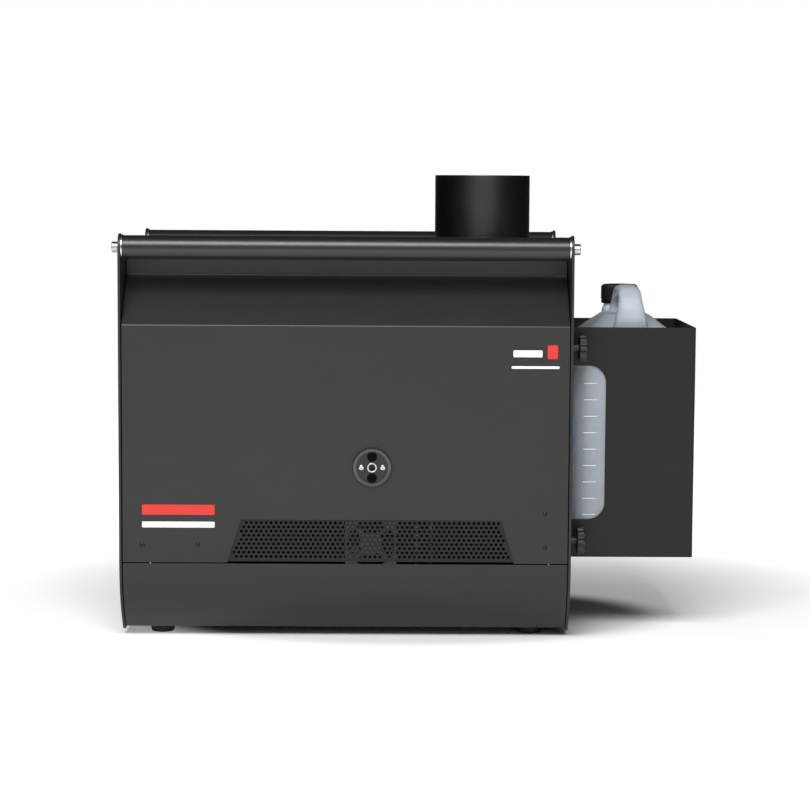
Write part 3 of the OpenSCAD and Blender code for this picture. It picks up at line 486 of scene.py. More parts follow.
glass = coat("display_glass", (0.012, 0.03, 0.035), 0.1, mottle=0.05, spread=0.03, bump=0.0,
             Coat_Weight=0.6, Coat_Roughness=0.03)
button_plastic = coat("button_plastic", (0.02, 0.02, 0.022), 0.38, mottle=0.06, grain=1500)
blue = coat("power_connector_plastic", (0.014, 0.07, 0.25), 0.36, mottle=0.05, grain=1500)
red = coat("breaker_red", (0.45, 0.018, 0.012), 0.34, mottle=0.05, grain=1500)
nickel = coat("data_connector_nickel", (0.5, 0.49, 0.46), 0.26, 1.0, mottle=0.1)
pale_mark = coat("badge_white", (0.8, 0.8, 0.8), 0.4, mottle=0.03, grain=1600, bump=0.05)
red_mark = coat("badge_red", (0.62, 0.022, 0.015), 0.4, mottle=0.04, grain=1600, bump=0.05)
natural = coat(
    "natural_polyethylene", (0.74, 0.79, 0.86), 0.42, mottle=0.025, spread=0.07, grain=420, bump=0.12,
    depth=0.0003, Subsurface_Weight=0.3, Subsurface_Scale=0.008, Transmission_Weight=0.55, IOR=1.3)
mark_white = coat("graduation_mark", (0.93, 0.95, 0.98), 0.32, mottle=0.02)


# ---------- Casing ----------

def side_plate(sign):
    foot = -HALF_D + (BELLY_CORNER_Z - PLATE_LOW_Z) * tan(BELLY_TURN)
    top = HANDLE.z + LOBE_R
    half = [
        (foot, PLATE_LOW_Z, 0.008), (-HALF_D, BELLY_CORNER_Z, BELLY_R), (-HALF_D, top, LOBE_R),
        (-HALF_D + 2 * LOBE_R, top, LOBE_R - 1e-5), (-HALF_D + 2 * LOBE_R, TOP_Z + 0.001, 0.007)
    ]
    outline = rounded(half + [(-u, v, r) for u, v, r in reversed(half)])
    holes = [circle(s * abs(HANDLE.y), HANDLE.z, 0.0042, 24) for s in (-1, 1)]
    holes += [circle(y, z, 0.0041, 24) for y, z in PLATE_SCREWS]
    if sign > 0:
        holes += [circle(s * STUD_Y, z, 0.0032, 20) for s in (-1, 1) for z in STUD_Z]
        holes.append(circle(0.126, 0.23, 0.0052, 24))
    face_x = CX + sign * HALF_W
    part = plate([outline] + holes, PLATE_T, 0.0005, place=lambda u, v, w: (face_x + sign * w, u, v))
    name = "side_plate_right" if sign > 0 else "side_plate_left"
    stand_in(name, part, edge_coat)


def wrapped(path_at, rear=1):
    """Places (u, v, w) on a folded sheet: u along X, v along its path in (y, z)."""
    def place(u, v, w):
        p, n = path_at(v)
        p = p - n * (w + SHEET_T / 2)
        return CX + u, rear * p.x, p.y
    return place


def panel_path():
    y = -(FACE_Y - SHEET_T / 2)
    back = -(WALL_Y - SHEET_T / 2)
    return fold([
        (y, PANEL_LOW_Z, 0), (y, CREASE_Z, 0.0025), (back, LEAN_TOP_Z, 0.005),
        (back, TOP_Z - SHEET_T, 0)
    ])


def flanges(rear):
    """Side flanges of a front or rear panel."""
    parts = []
    z0, z1 = SEAM_Z + 0.008, CREASE_Z - 0.011
    for s in (-1, 1):
        outline = rectangle(FACE_Y - 0.019, z0, FACE_Y - SHEET_T - LAP, z1, 0.002)
        holes = [circle(y, z, 0.0022, 16) for y, z in PLATE_SCREWS if y > 0]
        parts.append(plate([outline] + holes, SHEET_T, 0.0002,
                           place=lambda u, v, w, s=s: (CX + s * (PANEL_X + w), rear * u, v)))
    return joined(*parts)


def casing_panel(name, rear):
    lengths, path_at = panel_path()
    r = 0.0012
    if rear < 0:
        slope = (GRILLE_LOW_X[0] - GRILLE_TOP_X[0]) / (GRILLE_TOP_Z - SEAM_Z)
        foot_l = GRILLE_LOW_X[0] - slope * (PANEL_LOW_Z - SEAM_Z)
        top_v = GRILLE_TOP_Z - PANEL_LOW_Z
        outline = rounded([
            (-PANEL_X, 0, r), (foot_l, 0, r), (GRILLE_TOP_X[0], top_v, 0.002),
            (GRILLE_TOP_X[1], top_v, 0.002), (GRILLE_LOW_X[1], 0, r),
            (PANEL_X, 0, r), (PANEL_X, lengths[-1], r), (-PANEL_X, lengths[-1], r)
        ])
        holes = []
        screw_spots = FRONT_SCREWS
    else:
        outline = rectangle(-PANEL_X, 0, PANEL_X, lengths[-1], r)
        cx, cz, w, h = CONTROL
        v0, v1 = cz - h / 2 - PANEL_LOW_Z, cz + h / 2 - PANEL_LOW_Z
        holes = [rectangle(cx - w / 2, v0, cx + w / 2, v1, 0.006)]
        screw_spots = CONTROL_SCREWS
    holes += [circle(x, z - PANEL_LOW_Z, 0.0017, 16) for x, z in screw_spots]
    holes.append(circle(ROSETTE.x - CX, ROSETTE.z - PANEL_LOW_Z, 0.0085, 32))
    part = plate([outline] + holes, SHEET_T, 0.0004, lengths[1:-1], place=wrapped(path_at, -rear))
    stand_in(name, joined(part, flanges(rear)), body_coat)


def base_pan():
    """Pan with curved ends, two side tabs, and a lip that closes the rear seam from inside."""
    y = -(FACE_Y - SHEET_T / 2)
    r = BELLY_R - 0.00175
    corner = SEAM_Z - r * tan(BELLY_TURN / 2) - 0.001
    z = PAN_LOW_Z + SHEET_T / 2
    foot = y + (corner - z) * tan(BELLY_TURN)
    front = [(y, SEAM_Z - SEAM_HALF, 0), (y, corner, r), (foot, z, 0.006)]
    lengths, path_at = fold(front + [(-a, b, c) for a, b, c in reversed(front)])

    def place(u, v, w):
        p, n = path_at(v)
        p = p + n * (w + SHEET_T / 2)
        return CX + u, p.x, p.y

    half = lengths[-1] / 2
    outline = rectangle(-PANEL_X, 0, PANEL_X, lengths[-1], 0.0012)
    feet = [circle(x, half + y, 0.0041, 20) for x, y in FOOT_SPOTS]
    parts = [plate([outline] + feet, SHEET_T, 0.0004, lengths[1:-1], place=place)]
    for s in (-1, 1):
        tab = rectangle(-0.115, PAN_LOW_Z + SHEET_T, 0.115, PAN_LOW_Z + 0.0165, 0.002)
        parts.append(plate([tab], SHEET_T, 0.0002,
                           place=lambda u, v, w, s=s: (CX + s * (PANEL_X + w), u, v)))
    lip = rectangle(-PANEL_X + 0.004, SEAM_Z - 0.008, PANEL_X - 0.004, SEAM_Z + 0.006, 0.001)
    lip_y = FACE_Y - SHEET_T - 0.0003
    parts.append(plate([lip], 0.001, 0.0002, place=lambda u, v, w: (CX + u, lip_y + w, v)))
    stand_in("base_pan", joined(*parts), body_coat)


def grille():
    """Perforated sheet behind the opening in the front panel."""
    z0, z1 = low("front_grille").z, high("front_grille").z
    x0, x1 = low("front_grille").x - CX, high("front_grille").x - CX
    y = low("front_grille").y
    pitch, rise, r = 0.0058, 0.005, 0.00165
    rows = round((GRILLE_TOP_Z - SEAM_Z) / rise)
    holes = []
    for i in range(rows):
        z = GRILLE_TOP_Z - rise * (i + 0.72)
        t = (GRILLE_TOP_Z - z) / (GRILLE_TOP_Z - SEAM_Z)
        left = GRILLE_TOP_X[0] + t * (GRILLE_LOW_X[0] - GRILLE_TOP_X[0]) + 0.0035
        right = GRILLE_TOP_X[1] + t * (GRILLE_LOW_X[1] - GRILLE_TOP_X[1]) - 0.0035
        shift = 0.5 * (i % 2)
        k0, k1 = ceil(left / pitch - shift), int(right / pitch - shift)
        if z - r > z0 + 0.001:
            holes += [circle((k + shift) * pitch, z, r, 12) for k in range(k0, k1 + 1)]
    part = plate(
        [rectangle(x0, z0, x1, z1, 0.002)] + holes, 0.001, 0.00015, steps=1,
        place=lambda u, v, w: (CX + u, y - w, v))
    stand_in("front_grille", part, holder_coat)


def top_panel():
    x = DUCT.x - CX
    outline = rectangle(-PANEL_X, -WALL_Y, PANEL_X, WALL_Y, 0.0012)
    screws = [circle(x + sx, sy, 0.0022, 16) for sx, sy in DUCT_SCREWS]
    flat = plate([outline, circle(x, 0, NECK_R + 0.0005, 96)] + screws, SHEET_T, 0.0004,
                 place=lambda u, v, w: (CX + u, v, TOP_Z + w))
    lips = []
    for s in (-1, 1):
        lip = rectangle(-PANEL_X, TOP_Z - 0.016, PANEL_X, TOP_Z - SHEET_T, 0.001)
        y = WALL_Y - SHEET_T - LAP
        lips.append(plate([lip], SHEET_T, 0.0002,
                          place=lambda u, v, w, s=s: (CX + u, s * (y + w), v)))
    stand_in("top_panel", joined(flat, *lips), body_coat)


for side in (-1, 1):
    side_plate(side)
casing_panel("front_panel", -1)
casing_panel("rear_panel", 1)
base_pan()
grille()
top_panel()


# ---------- Handles ----------

def handles():
    tube_x = INNER_X - 0.002
    hollow = HANDLE_R - 0.002
    tube = turned([
        (HANDLE_R, -tube_x, 0.0005), (HANDLE_R, tube_x, 0.0005), (hollow, tube_x, 0.0003),
        (hollow, -tube_x, 0.0003)
    ], 72)
    plug = turned([
        (0.004, INNER_X - 0.02, 0.0003), (HANDLE_R - 0.00205, INNER_X - 0.02, 0.001),
        (HANDLE_R - 0.00205, INNER_X - 0.002, 0), (HANDLE_R + 0.0008, INNER_X - 0.002, 0.0004),
        (HANDLE_R + 0.0008, INNER_X, 0.0004), (0.004, INNER_X, 0.0003)
    ], 72)
    start, end = HALF_W, HALF_W + 0.008
    screw = closed(polar([
        (0.0039, INNER_X - 0.018), (0.0039, start + 0.0002), (0.0061, start + 0.0002),
        (0.0065, start + 0.0006), (0.0065, end - 0.0009), (0.00625, end - 0.00035),
        (0.0057, end), (0.0042, end), *hex_recess(0.00345, end - 0.0003, end - 0.0042)
    ], 72), 72)
    plugs, screws = [], []
    for y, name in ((-1, "front_handle_tube"), (1, "rear_handle_tube")):
        axis = at(CX, y * abs(HANDLE.y), HANDLE.z)
        stand_in(name, moved(tube, axis @ facing((1, 0, 0))), handle_coat)
        for x in (-1, 1):
            plugs.append(moved(plug, axis @ facing((x, 0, 0))))
            screws.append(moved(screw, axis @ facing((x, 0, 0))))
    stand_in("handle_end_plugs", joined(*plugs), bright)
    stand_in("handle_screws", joined(*screws), zinc)


# ---------- Yoke rosettes ----------

TEETH = 60


def rosette_crests():
    """Worn crests of the teeth, as thin bars that lie on them."""
    crest = plate([rectangle(ROSETTE_R - 0.0042, -0.00026, ROSETTE_R - 0.0009, 0.00026, 0.0001)],
                  0.0006, 0.00008, steps=1, place=lambda u, v, w: (u, v, DISC_T - 0.00002 + w))
    return joined(*(moved(crest, Matrix.Rotation(TAU * (k + 0.5) / TEETH, 4, "Z"))
                    for k in range(TEETH)))


def rosette_disc():
    """Disc along +Z from its panel at z = 0: toothed rim and pierced hub, and a thin back."""
    n = TEETH * 6
    crown, root, hub = DISC_T - 0.0003, DISC_T - 0.0015, DISC_T - 0.0011
    inner = ROSETTE_R - 0.0046
    wave = (0, 0.25, 1, 1, 1, 0.25)

    def tooth(r, share=1.0):
        def ring(a):
            k = round(a / TAU * n) % 6
            return r, root + (crown - root) * wave[k] * share
        return ring

    rings = [
        (inner, 0.0001), (ROSETTE_R - 0.0002, 0.0001), (ROSETTE_R, 0.0003), (ROSETTE_R, root - 0.0002),
        tooth(ROSETTE_R - 0.0003, 0.85), tooth(ROSETTE_R - 0.0007), tooth(inner + 0.0003),
        (inner, root - 0.0003)
    ]
    last = (len(rings) - 1) * n
    faces = bands(len(rings), n)
    faces += [(last + k, k, (k + 1) % n, last + (k + 1) % n) for k in range(n)]
    holes = [circle(0, 0, 0.0049, 48)]
    holes += [circle(0, s * DISC_SCREW_R, 0.0058, 48) for s in (-1, 1)]
    pierced = plate([circle(0, 0, inner + 0.0008, 96)] + holes, hub - 0.001, 0.0003,
                    place=lambda u, v, w: (u, v, hub + w))
    back = turned([
        (0.0049, 0.0001, 0), (inner + 0.0006, 0.0001, 0), (inner + 0.0006, 0.001, 0),
        (0.0049, 0.001, 0)
    ], 96)
    return joined((polar(rings, n), faces), pierced), back


def rosettes():
    """Yoke discs with their threaded sleeves, pan heads at the sides, cap screws above and below."""
    disc, back = rosette_disc()
    sleeve = turned([
        (0.0034, -0.0135, 0.0002), (0.0046, -0.0135, 0.0002), (0.0046, DISC_T - 0.0021, 0),
        (0.0056, DISC_T - 0.001, 0.0002), (0.0056, DISC_T - 0.0003, 0.0003),
        (0.0042, DISC_T - 0.0003, 0.0003), (0.0034, DISC_T - 0.0016, 0)
    ], 48)
    button = closed(polar([
        (0.0015, -0.004), (0.0015, DISC_T - 0.0011), (0.003, DISC_T - 0.0011),
        (0.00295, DISC_T - 0.0006), (0.0025, DISC_T - 0.0002), (0.0016, DISC_T - 0.0001),
        *hex_recess(0.0011, DISC_T - 0.0002, DISC_T - 0.001)
    ], 48), 48)
    socket = closed(polar([
        (0.0016, -0.004), (0.0016, 0.00105), (0.0034, 0.00105), (0.0035, 0.0012), (0.0035, 0.0021),
        (0.0032, 0.0024), (0.0022, 0.0024), *hex_recess(0.0013, 0.0023, 0.0013)
    ], 48), 48)
    buttons, sockets = [], []
    for y, name in ((-1, "front_rosette"), (1, "rear_rosette")):
        def spot(x, z):
            return at(ROSETTE.x + x, y * FACE_Y, ROSETTE.z + z) @ facing((0, y, 0))

        stand_in(name, moved(disc, spot(0, 0)), anodised, sharp=30)
        # The back disc and the socket screws sit deep in the rosette; their almost unreflective black
        # paints shade in that hollow.
        piece(name + "_back", moved(back, spot(0, 0)), hollow_shade_black)
        piece(name + "_thread", moved(sleeve, spot(0, 0)), bright)
        piece(name + "_crests", moved(rosette_crests(), spot(0, 0)), worn)
        for s in (-1, 1):
            buttons.append(moved(button, spot(s * DISC_SCREW_R, 0)))
            sockets.append(moved(socket, spot(0, s * DISC_SCREW_R)))
    stand_in("rosette_screws", joined(*buttons), bright)
    piece("rosette_socket_screws", joined(*sockets), hollow_shade_black)


# ---------- Outlet duct and jet fan ----------

def duct():
    """Duct with a slimmer neck through the top panel, and a bead of sealant round it."""
    bore = DUCT_R - 0.002
    step_z = TOP_Z + 0.003
    part = turned([
        (NECK_R, DUCT_LOW_Z, 0), (NECK_R, step_z, 0), (DUCT_R, step_z, 0),
        (DUCT_R, DUCT_TOP_Z, 0.0008), (bore, DUCT_TOP_Z, 0.0008), (bore, DUCT_LOW_Z, 0)
    ], 144)
    stand_in("outlet_duct", moved(part, at(DUCT.x, 0, 0)), duct_coat)
    seal = turned([
        (NECK_R + 0.0001, TOP_Z, 0), (DUCT_R + 0.0016, TOP_Z, 0.0003),
        (NECK_R + 0.0001, TOP_Z + 0.002, 0.0003)
    ], 144)
    piece("duct_sealant", moved(seal, at(DUCT.x, 0, 0)), rubber)


def fan_blades(bore_r, hub_r, h, count):
    """Swept, cambered blades on a domed hub, along +Z from the frame's lower face."""
    parts = [turned([
        (0, 0.0055, 0), (hub_r, 0.0055, 0.001), (hub_r, h - 0.001, 0.003), (0, h - 0.001, 0)
    ])]
    spans, chords = 8, 6
    tip = bore_r - 0.0022
    for k in range(count):
        rows = []
        for side in (1, -1):
            for i in range(spans + 1):
                t = i / spans
                r = hub_r - 0.0012 + (tip - hub_r + 0.0012) * t
                pitch = radians(48 - 22 * t)
                chord = h * 0.92 * (0.75 + 0.25 * t)
                for j in range(chords + 1):
                    c = j / chords - 0.5
                    camber = (0.25 - c * c) * chord * 0.22
                    along, up = c * chord * cos(pitch), c * chord * sin(pitch)
                    thick = side * 0.0008 * (1 - 1.6 * c * c)
                    angle = TAU * k / count + (along + 0.3 * h * t * t) / r
                    z = h * 0.53 + up * 0.86 + camber * 0.5 + thick
                    z = min(max(z, 0.0062), h - 0.0016)
                    rows.append(Vector((r * cos(angle), r * sin(angle), z)))
        width, half = chords + 1, (spans + 1) * (chords + 1)
        faces = []
        for i in range(spans):
            for j in range(chords):
                a = i * width + j
                b = half + a
                faces += [(a, a + width, a + width + 1, a + 1), (b, b + 1, b + width + 1, b + width)]
        rim = [i * width for i in range(spans + 1)] + [spans * width + j for j in range(1, width)]
        rim += [i * width + chords for i in range(spans - 1, -1, -1)]
        rim += range(chords - 1, 0, -1)
        for a, b in zip(rim, rim[1:] + rim[:1]):
            faces.append((a, b, b + half, a + half))
        parts.append((rows, faces))
    return joined(*parts)


def fan_rotors():
    for name, body, r, hub, h, turn in (
        ("jet_fan_rotor", "jet_fan", 0.057, 0.023, 0.038, (0, 0, 1)),
        ("cooling_fan_rotor", "cooling_fan", 0.028, 0.013, 0.025, (0, 1, 0)),
    ):
        spot = middle(name)
        base = low(name.replace("rotor", "housing"))
        if turn[2]:
            place = at(spot.x, spot.y, base.z)
        else:
            place = at(spot.x, base.y, spot.z) @ facing(turn)
        stand_in(name, moved(fan_blades(r, hub, h, 7), place), fan_plastic, body)


# ---------- Screws and feet ----------

def pan_screw(length):
    """Pan-head screw along -Z, with its head's underside at z = 0."""
    return closed(polar([
        (0.0015, -length), (0.0015, 0), (0.0028, 0), (0.0027, 0.0004), (0.0022, 0.0009),
        (0.0015, 0.0012), *hex_recess(0.001, 0.0012, 0.0004)
    ], 36), 36)


def flush_screw(length):
    """Countersunk screw along -Z, flush at z = 0."""
    return closed(polar([
        (0.002, -length), (0.002, -0.0019), (0.0037, -0.0004), (0.0039, -0.0002), (0.0037, -0.00005),
        (0.002, -0.00005), *hex_recess(0.00135, -0.0001, -0.0011)
    ], 36), 36)


def screws():
    parts = []
    for x, z in FRONT_SCREWS:
        parts.append(moved(pan_screw(0.0015), at(CX + x, -FACE_Y, z) @ facing((0, -1, 0))))
    for x, z in CONTROL_SCREWS:
        parts.append(moved(pan_screw(0.005), at(CX + x, FACE_Y, z) @ facing((0, 1, 0))))
    for x, y in DUCT_SCREWS:
        parts.append(moved(pan_screw(0.007), at(DUCT.x + x, y, TOP_Z)))
    for y, z in PLATE_SCREWS:
        for s in (-1, 1):
            parts.append(moved(flush_screw(0.007), at(CX + s * HALF_W, y, z) @ facing((s, 0, 0))))
    stand_in("panel_screws", joined(*parts), black_screw)


def feet():
    foot = turned([
        (0, 0, 0), (0.0135, 0, 0.0015), (0.015, PAN_LOW_Z, 0.0008), (0.004, PAN_LOW_Z, 0),
        (0.004, PAN_LOW_Z + 0.0015, 0), (0.006, PAN_LOW_Z + 0.0015, 0.0004),
        (0.006, PAN_LOW_Z + 0.004, 0.0008), (0, PAN_LOW_Z + 0.004, 0)
    ])
    parts = [moved(foot, at(CX + x, y, 0)) for x, y in FOOT_SPOTS]
    stand_in("rubber_feet", joined(*parts), rubber)


def badges():
    """Plain coloured bars at two corners of the front panel."""
    bars = (
        (pale_mark, ((-0.238, 0.134, -0.153, 0.141), (0.195, 0.336, 0.229, 0.344),
                     (0.193, 0.3225, 0.249, 0.3255))),
        (red_mark, ((-0.238, 0.149, -0.153, 0.161), (0.235, 0.334, 0.247, 0.35))),
    )
    for finish, rects in bars:
        parts = [
            plate([rectangle(u0, v0, u1, v1, 0.0012)], 0.0003, 0.0001, steps=1,
                  place=lambda u, v, w: (CX + u, -FACE_Y - 0.0003 - w, v))
            for u0, v0, u1, v1 in rects
        ]
        piece("plain_" + finish.name, joined(*parts), finish)


handles()
rosettes()
badges()
duct()
fan_rotors()
screws()
feet()


# ---------- Tank holder, studs and knobs ----------

def holder():
    """Folded holder: a wall round three sides, a back plate with flanges, and a raised floor."""
    z0, z1 = HOLDER_LOW.z, HOLDER_HIGH.z
    x0, x1, y = HALF_W, HOLDER_HIGH.x - CX, HOLDER_Y
    mid = SHEET_T / 2
    lengths, path_at = fold([
        (x0, -y + mid, 0), (x1 - mid, -y + mid, 0.0022), (x1 - mid, y - mid, 0.0022),
        (x0, y - mid, 0)
    ])
    width, low_z, high_z, r = WINDOW
    outline = rounded([
        (z0, 0, 0.0008), (low_z, 0, 0.0008), (low_z, width, r), (high_z, width, r),
        (high_z, 0, 0.0008), (z1, 0, 0.0008), (z1, lengths[-1], 0.0008), (z0, lengths[-1], 0.0008)
    ])

    def wall(u, v, w):
        p, n = path_at(v)
        p = p - n * (w + mid)
        return CX + p.x, p.y, u

    parts = [plate([outline], SHEET_T, 0.0004, lengths[1:-1], place=wall)]
    flange_y = HOLDER_HIGH.y
    notch = rounded([
        (-flange_y, z0, 0.004), (flange_y, z0, 0.004), (flange_y, 0.218, 0.001),
        (0.114, 0.218, 0.003), (0.114, 0.242, 0.003), (flange_y, 0.242, 0.001),
        (flange_y, z1, 0.004), (-flange_y, z1, 0.004)
    ])
    holes = [circle(s * STUD_Y, z, 0.0033, 20) for s in (-1, 1) for z in STUD_Z]
    parts.append(plate([notch] + holes, SHEET_T, 0.0004,
                       place=lambda u, v, w: (CX + x0 + SHEET_T + w, u, v)))
    shelf = rectangle(x0 + SHEET_T, -y + SHEET_T, x1 - SHEET_T, y - SHEET_T, 0.001)
    parts.append(plate([shelf], SHEET_T, 0.0002, place=lambda u, v, w: (CX + u, v, SHELF_Z + w)))
    stand_in("tank_holder", joined(*parts), holder_coat)


def studs():
    """Threaded studs, as rings of shallow thread ridges."""
    x0, x1 = low("holder_studs").x - CX, high("holder_studs").x - CX
    pitch, r = 0.001, 0.003
    profile = [(0, x0), (0.0045, x0), (0.0045, x0 + 0.0015), (0.00265, x0 + 0.0015)]
    x = x0 + 0.0022
    while x < x1 - 0.0012:
        profile += [(0.00265, x), (r, x + pitch * 0.35), (r, x + pitch * 0.5), (0.00265, x + pitch * 0.85)]
        x += pitch
    profile += [(0.0026, x1 - 0.0006), (0.0022, x1), (0, x1)]
    stud = lathe(profile, 28)
    parts = [
        moved(stud, at(CX, s * STUD_Y, z) @ facing((1, 0, 0))) for s in (-1, 1) for z in STUD_Z
    ]
    stand_in("holder_studs", joined(*parts), zinc, sharp=25)


def star_knob(name):
    """Eight-lobed knob with rounded edges and a plain hub that presses on the flange."""
    lo, hi = low(name), high(name)
    rider = name.replace("star_", "")
    r = (hi.y - lo.y) / 2
    t = 0.0097
    outline = [
        Vector((cos(a), sin(a))) * (r - 0.0016 * (1 - cos(8 * a)) ** 1.25 / 1.2)
        for a in (TAU * k / 160 for k in range(160))
    ]
    axis = at(hi.x, (lo.y + hi.y) / 2, (lo.z + hi.z) / 2) @ facing((1, 0, 0))
    stand_in(name, moved(plate([outline], t, 0.0016, steps=5), axis), knob_plastic, rider)
    foot = lo.x - hi.x
    hub = turned([
        (0.00306, foot, 0.0002), (0.005, foot, 0.0004), (0.005, -t + 0.0004, 0),
        (0.00306, -t + 0.0004, 0)
    ], 40)
    piece(name + "_hub", moved(hub, axis), knob_plastic, rider)


holder()
studs()
for spot in ("front_top", "front_bottom", "rear_top", "rear_bottom"):
    star_knob("star_knob_" + spot)


# ---------- Tank ----------

TANK_LOW, TANK_HIGH = low("fluid_tank"), high("fluid_tank")
TANK = middle("fluid_tank")
TANK_WALL_Z = TANK_LOW.z + 0.222
DECK_Z = TANK_WALL_Z + 0.042
NECK_Y = middle("tank_cap").y
GRIP_Y = (-0.086, 0.034)


def ring_of(w, d, r, n=12):
    """Round-cornered rectangle with the same number of points whatever its size."""
    r = min(r, w - 1e-4, d - 1e-4)
    points = []
    for cx, cy, a0 in ((w - r, d - r, 0), (r - w, d - r, 1), (r - w, r - d, 2), (w - r, r - d, 3)):
        for k in range(n + 1):
            a = pi / 2 * (a0 + k / n)
            points.append((cx + r * cos(a), cy + r * sin(a)))
    return points


def lofted(levels):
    """Closed solid through rings of (half width, half depth, corner radius, height, y shift)."""
    points, faces = [], []
    for w, d, r, z, shift in levels:
        points += [Vector((x, y + shift, z)) for x, y in ring_of(w, d, r)]
    n = len(points) // len(levels)
    for i in range(len(levels) - 1):
        for k in range(n):
            j = (k + 1) % n
            faces.append((i * n + k, i * n + j, (i + 1) * n + j, (i + 1) * n + k))
    faces.append(tuple(range(n))[::-1])
    faces.append(tuple(range((len(levels) - 1) * n, len(levels) * n)))
    return points, faces


def tank_body():
    w, d = (TANK_HIGH.x - TANK_LOW.x) / 2, (TANK_HIGH.y - TANK_LOW.y) / 2
    z0, z1 = TANK_LOW.z, TANK_WALL_Z
    levels = [(w - 0.012, d - 0.012, 0.014, z0 + 0.0012, 0)]
    levels += [
        (w - 0.012 * (1 - sin(a)), d - 0.012 * (1 - sin(a)), 0.014 + 0.01 * sin(a),
         z0 + 0.012 * (1 - cos(a)), 0)
        for a in (pi / 2 * k / 5 for k in range(1, 6))
    ]
    levels += [(w, d, 0.024, z1 - 0.006, 0)]
    for k in range(1, 13):
        t = k / 12
        shrink = 0.046 * (t ** 1.15)
        levels.append((w - shrink, d - shrink * 0.98, 0.024 + 0.004 * t, z1 + 0.042 * t ** 0.93, 0))
    return lofted(levels)


def tank_grip():
    """Bell-shaped ridge that rises from the front shoulder, arches over the deck and comes down."""
    y0, y1 = GRIP_Y
    top = TANK_HIGH.z
    path = [
        (y0 + 0.012, TANK_WALL_Z - 0.01, 0.027), (y0 + 0.0125, TANK_WALL_Z + 0.012, 0.0245),
        (y0 + 0.0135, DECK_Z - 0.008, 0.02), (y0 + 0.015, DECK_Z + 0.008, 0.0165),
        (y0 + 0.0195, top - 0.0185, 0.0145), (y0 + 0.029, top - 0.0105, 0.014),
        (y0 + 0.045, top - 0.0082, 0.014), (y1 - 0.045, top - 0.0082, 0.014),
        (y1 - 0.026, top - 0.0105, 0.014), (y1 - 0.015, top - 0.0195, 0.0145),
        (y1 - 0.01, DECK_Z + 0.006, 0.016), (y1 - 0.008, DECK_Z - 0.02, 0.018)
    ]
    points = []
    n = 28
    power = 0.72
    for i, (y, z, half) in enumerate(path):
        a, b = path[max(0, i - 1)], path[min(len(path) - 1, i + 1)]
        way = Vector((0, b[0] - a[0], b[1] - a[1])).normalized()
        out = Vector((0, -way.z, way.y))
        thick = 0.0082 if 3 < i < 9 else 0.0095
        for k in range(n):
            t = TAU * k / n
            c, s = cos(t), sin(t)
            u = copysign(abs(c) ** power, c) * half
            v = copysign(abs(s) ** power, s) * thick
            points.append(Vector((u, y, z)) + out * v)
    return closed(points, n)


def tank():
    """Body, grip and neck melted into one blow-moulded skin."""
    neck_r = 0.019
    neck = turned([
        (0, DECK_Z - 0.03, 0), (neck_r + 0.004, DECK_Z - 0.03, 0), (neck_r + 0.003, DECK_Z + 0.003, 0.003),
        (neck_r, DECK_Z + 0.005, 0.001), (neck_r, DECK_Z + 0.026, 0.001), (0, DECK_Z + 0.026, 0)
    ])
    part = joined(tank_body(), tank_grip(), moved(neck, at(0, NECK_Y, 0)))
    blank = in_scene("tank_blank", mesh_of("tank_blank", part))
    remesh = blank.modifiers.new("remesh", "REMESH")
    remesh.mode = "VOXEL"
    remesh.voxel_size = 0.0016
    smooth = blank.modifiers.new("smooth", "SMOOTH")
    smooth.factor, smooth.iterations = 0.5, 14
    bpy.context.view_layer.update()
    made = bpy.data.meshes.new_from_object(blank.evaluated_get(bpy.context.evaluated_depsgraph_get()))
    bpy.data.objects.remove(blank)
    made.transform(at(TANK.x, TANK.y, 0))
    for v in made.vertices:
        v.co.z = min(v.co.z, TANK_HIGH.z)
    made.materials.clear()
    made.materials.append(natural)
    made.shade_smooth()
    shown = in_scene("shown_fluid_tank", made)
    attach(shown, "tank")
    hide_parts("fluid_tank")


def graduation():
    """Nine raised fill marks up the front of the tank."""
    low_z, rise, length = 0.141, 0.0198, 0.016
    parts = [
        plate([rectangle(0, -0.0005, length, 0.0005, 0.0004)], 0.0008, 0.0002, steps=2,
              place=lambda u, v, w, z=low_z + rise * k: (CX + 0.2835 + u, TANK_LOW.y - 0.0006 - w, z + v))
        for k in range(9)
    ]
    piece("tank_graduation", joined(*parts), mark_white, "tank")


def cap():
    """Ribbed screw cap with a sunk middle."""
    lo, hi = low("tank_cap"), high("tank_cap")
    r = (hi.x - lo.x) / 2
    n = 240

    def ribbed(z, depth):
        def ring(a):
            k = round(a / TAU * n) % 5
            return r - depth * (0, 0, 0.6, 1, 0.6)[k], z
        return ring

    part = closed(polar([
        (0.0195, lo.z + 0.0172), (0.0195, lo.z), (r - 0.001, lo.z), (r - 0.0003, lo.z + 0.0006),
        (r - 0.0003, lo.z + 0.004), (r - 0.0008, lo.z + 0.0042), (r - 0.0008, lo.z + 0.0048),
        ribbed(lo.z + 0.0052, 0.0008), ribbed(hi.z - 0.003, 0.0008), (r - 0.0011, hi.z - 0.0014),
        (r - 0.0024, hi.z - 0.0003), (r - 0.004, hi.z), (r - 0.008, hi.z - 0.0001),
        (r - 0.009, hi.z - 0.0007), (0.004, hi.z - 0.0007)
    ], n), n)
    stand_in("tank_cap", moved(part, at(TANK.x, NECK_Y, 0)), cap_plastic, "cap", sharp=34)


tank()
graduation()
cap()


# ---------- Rear control panel ----------

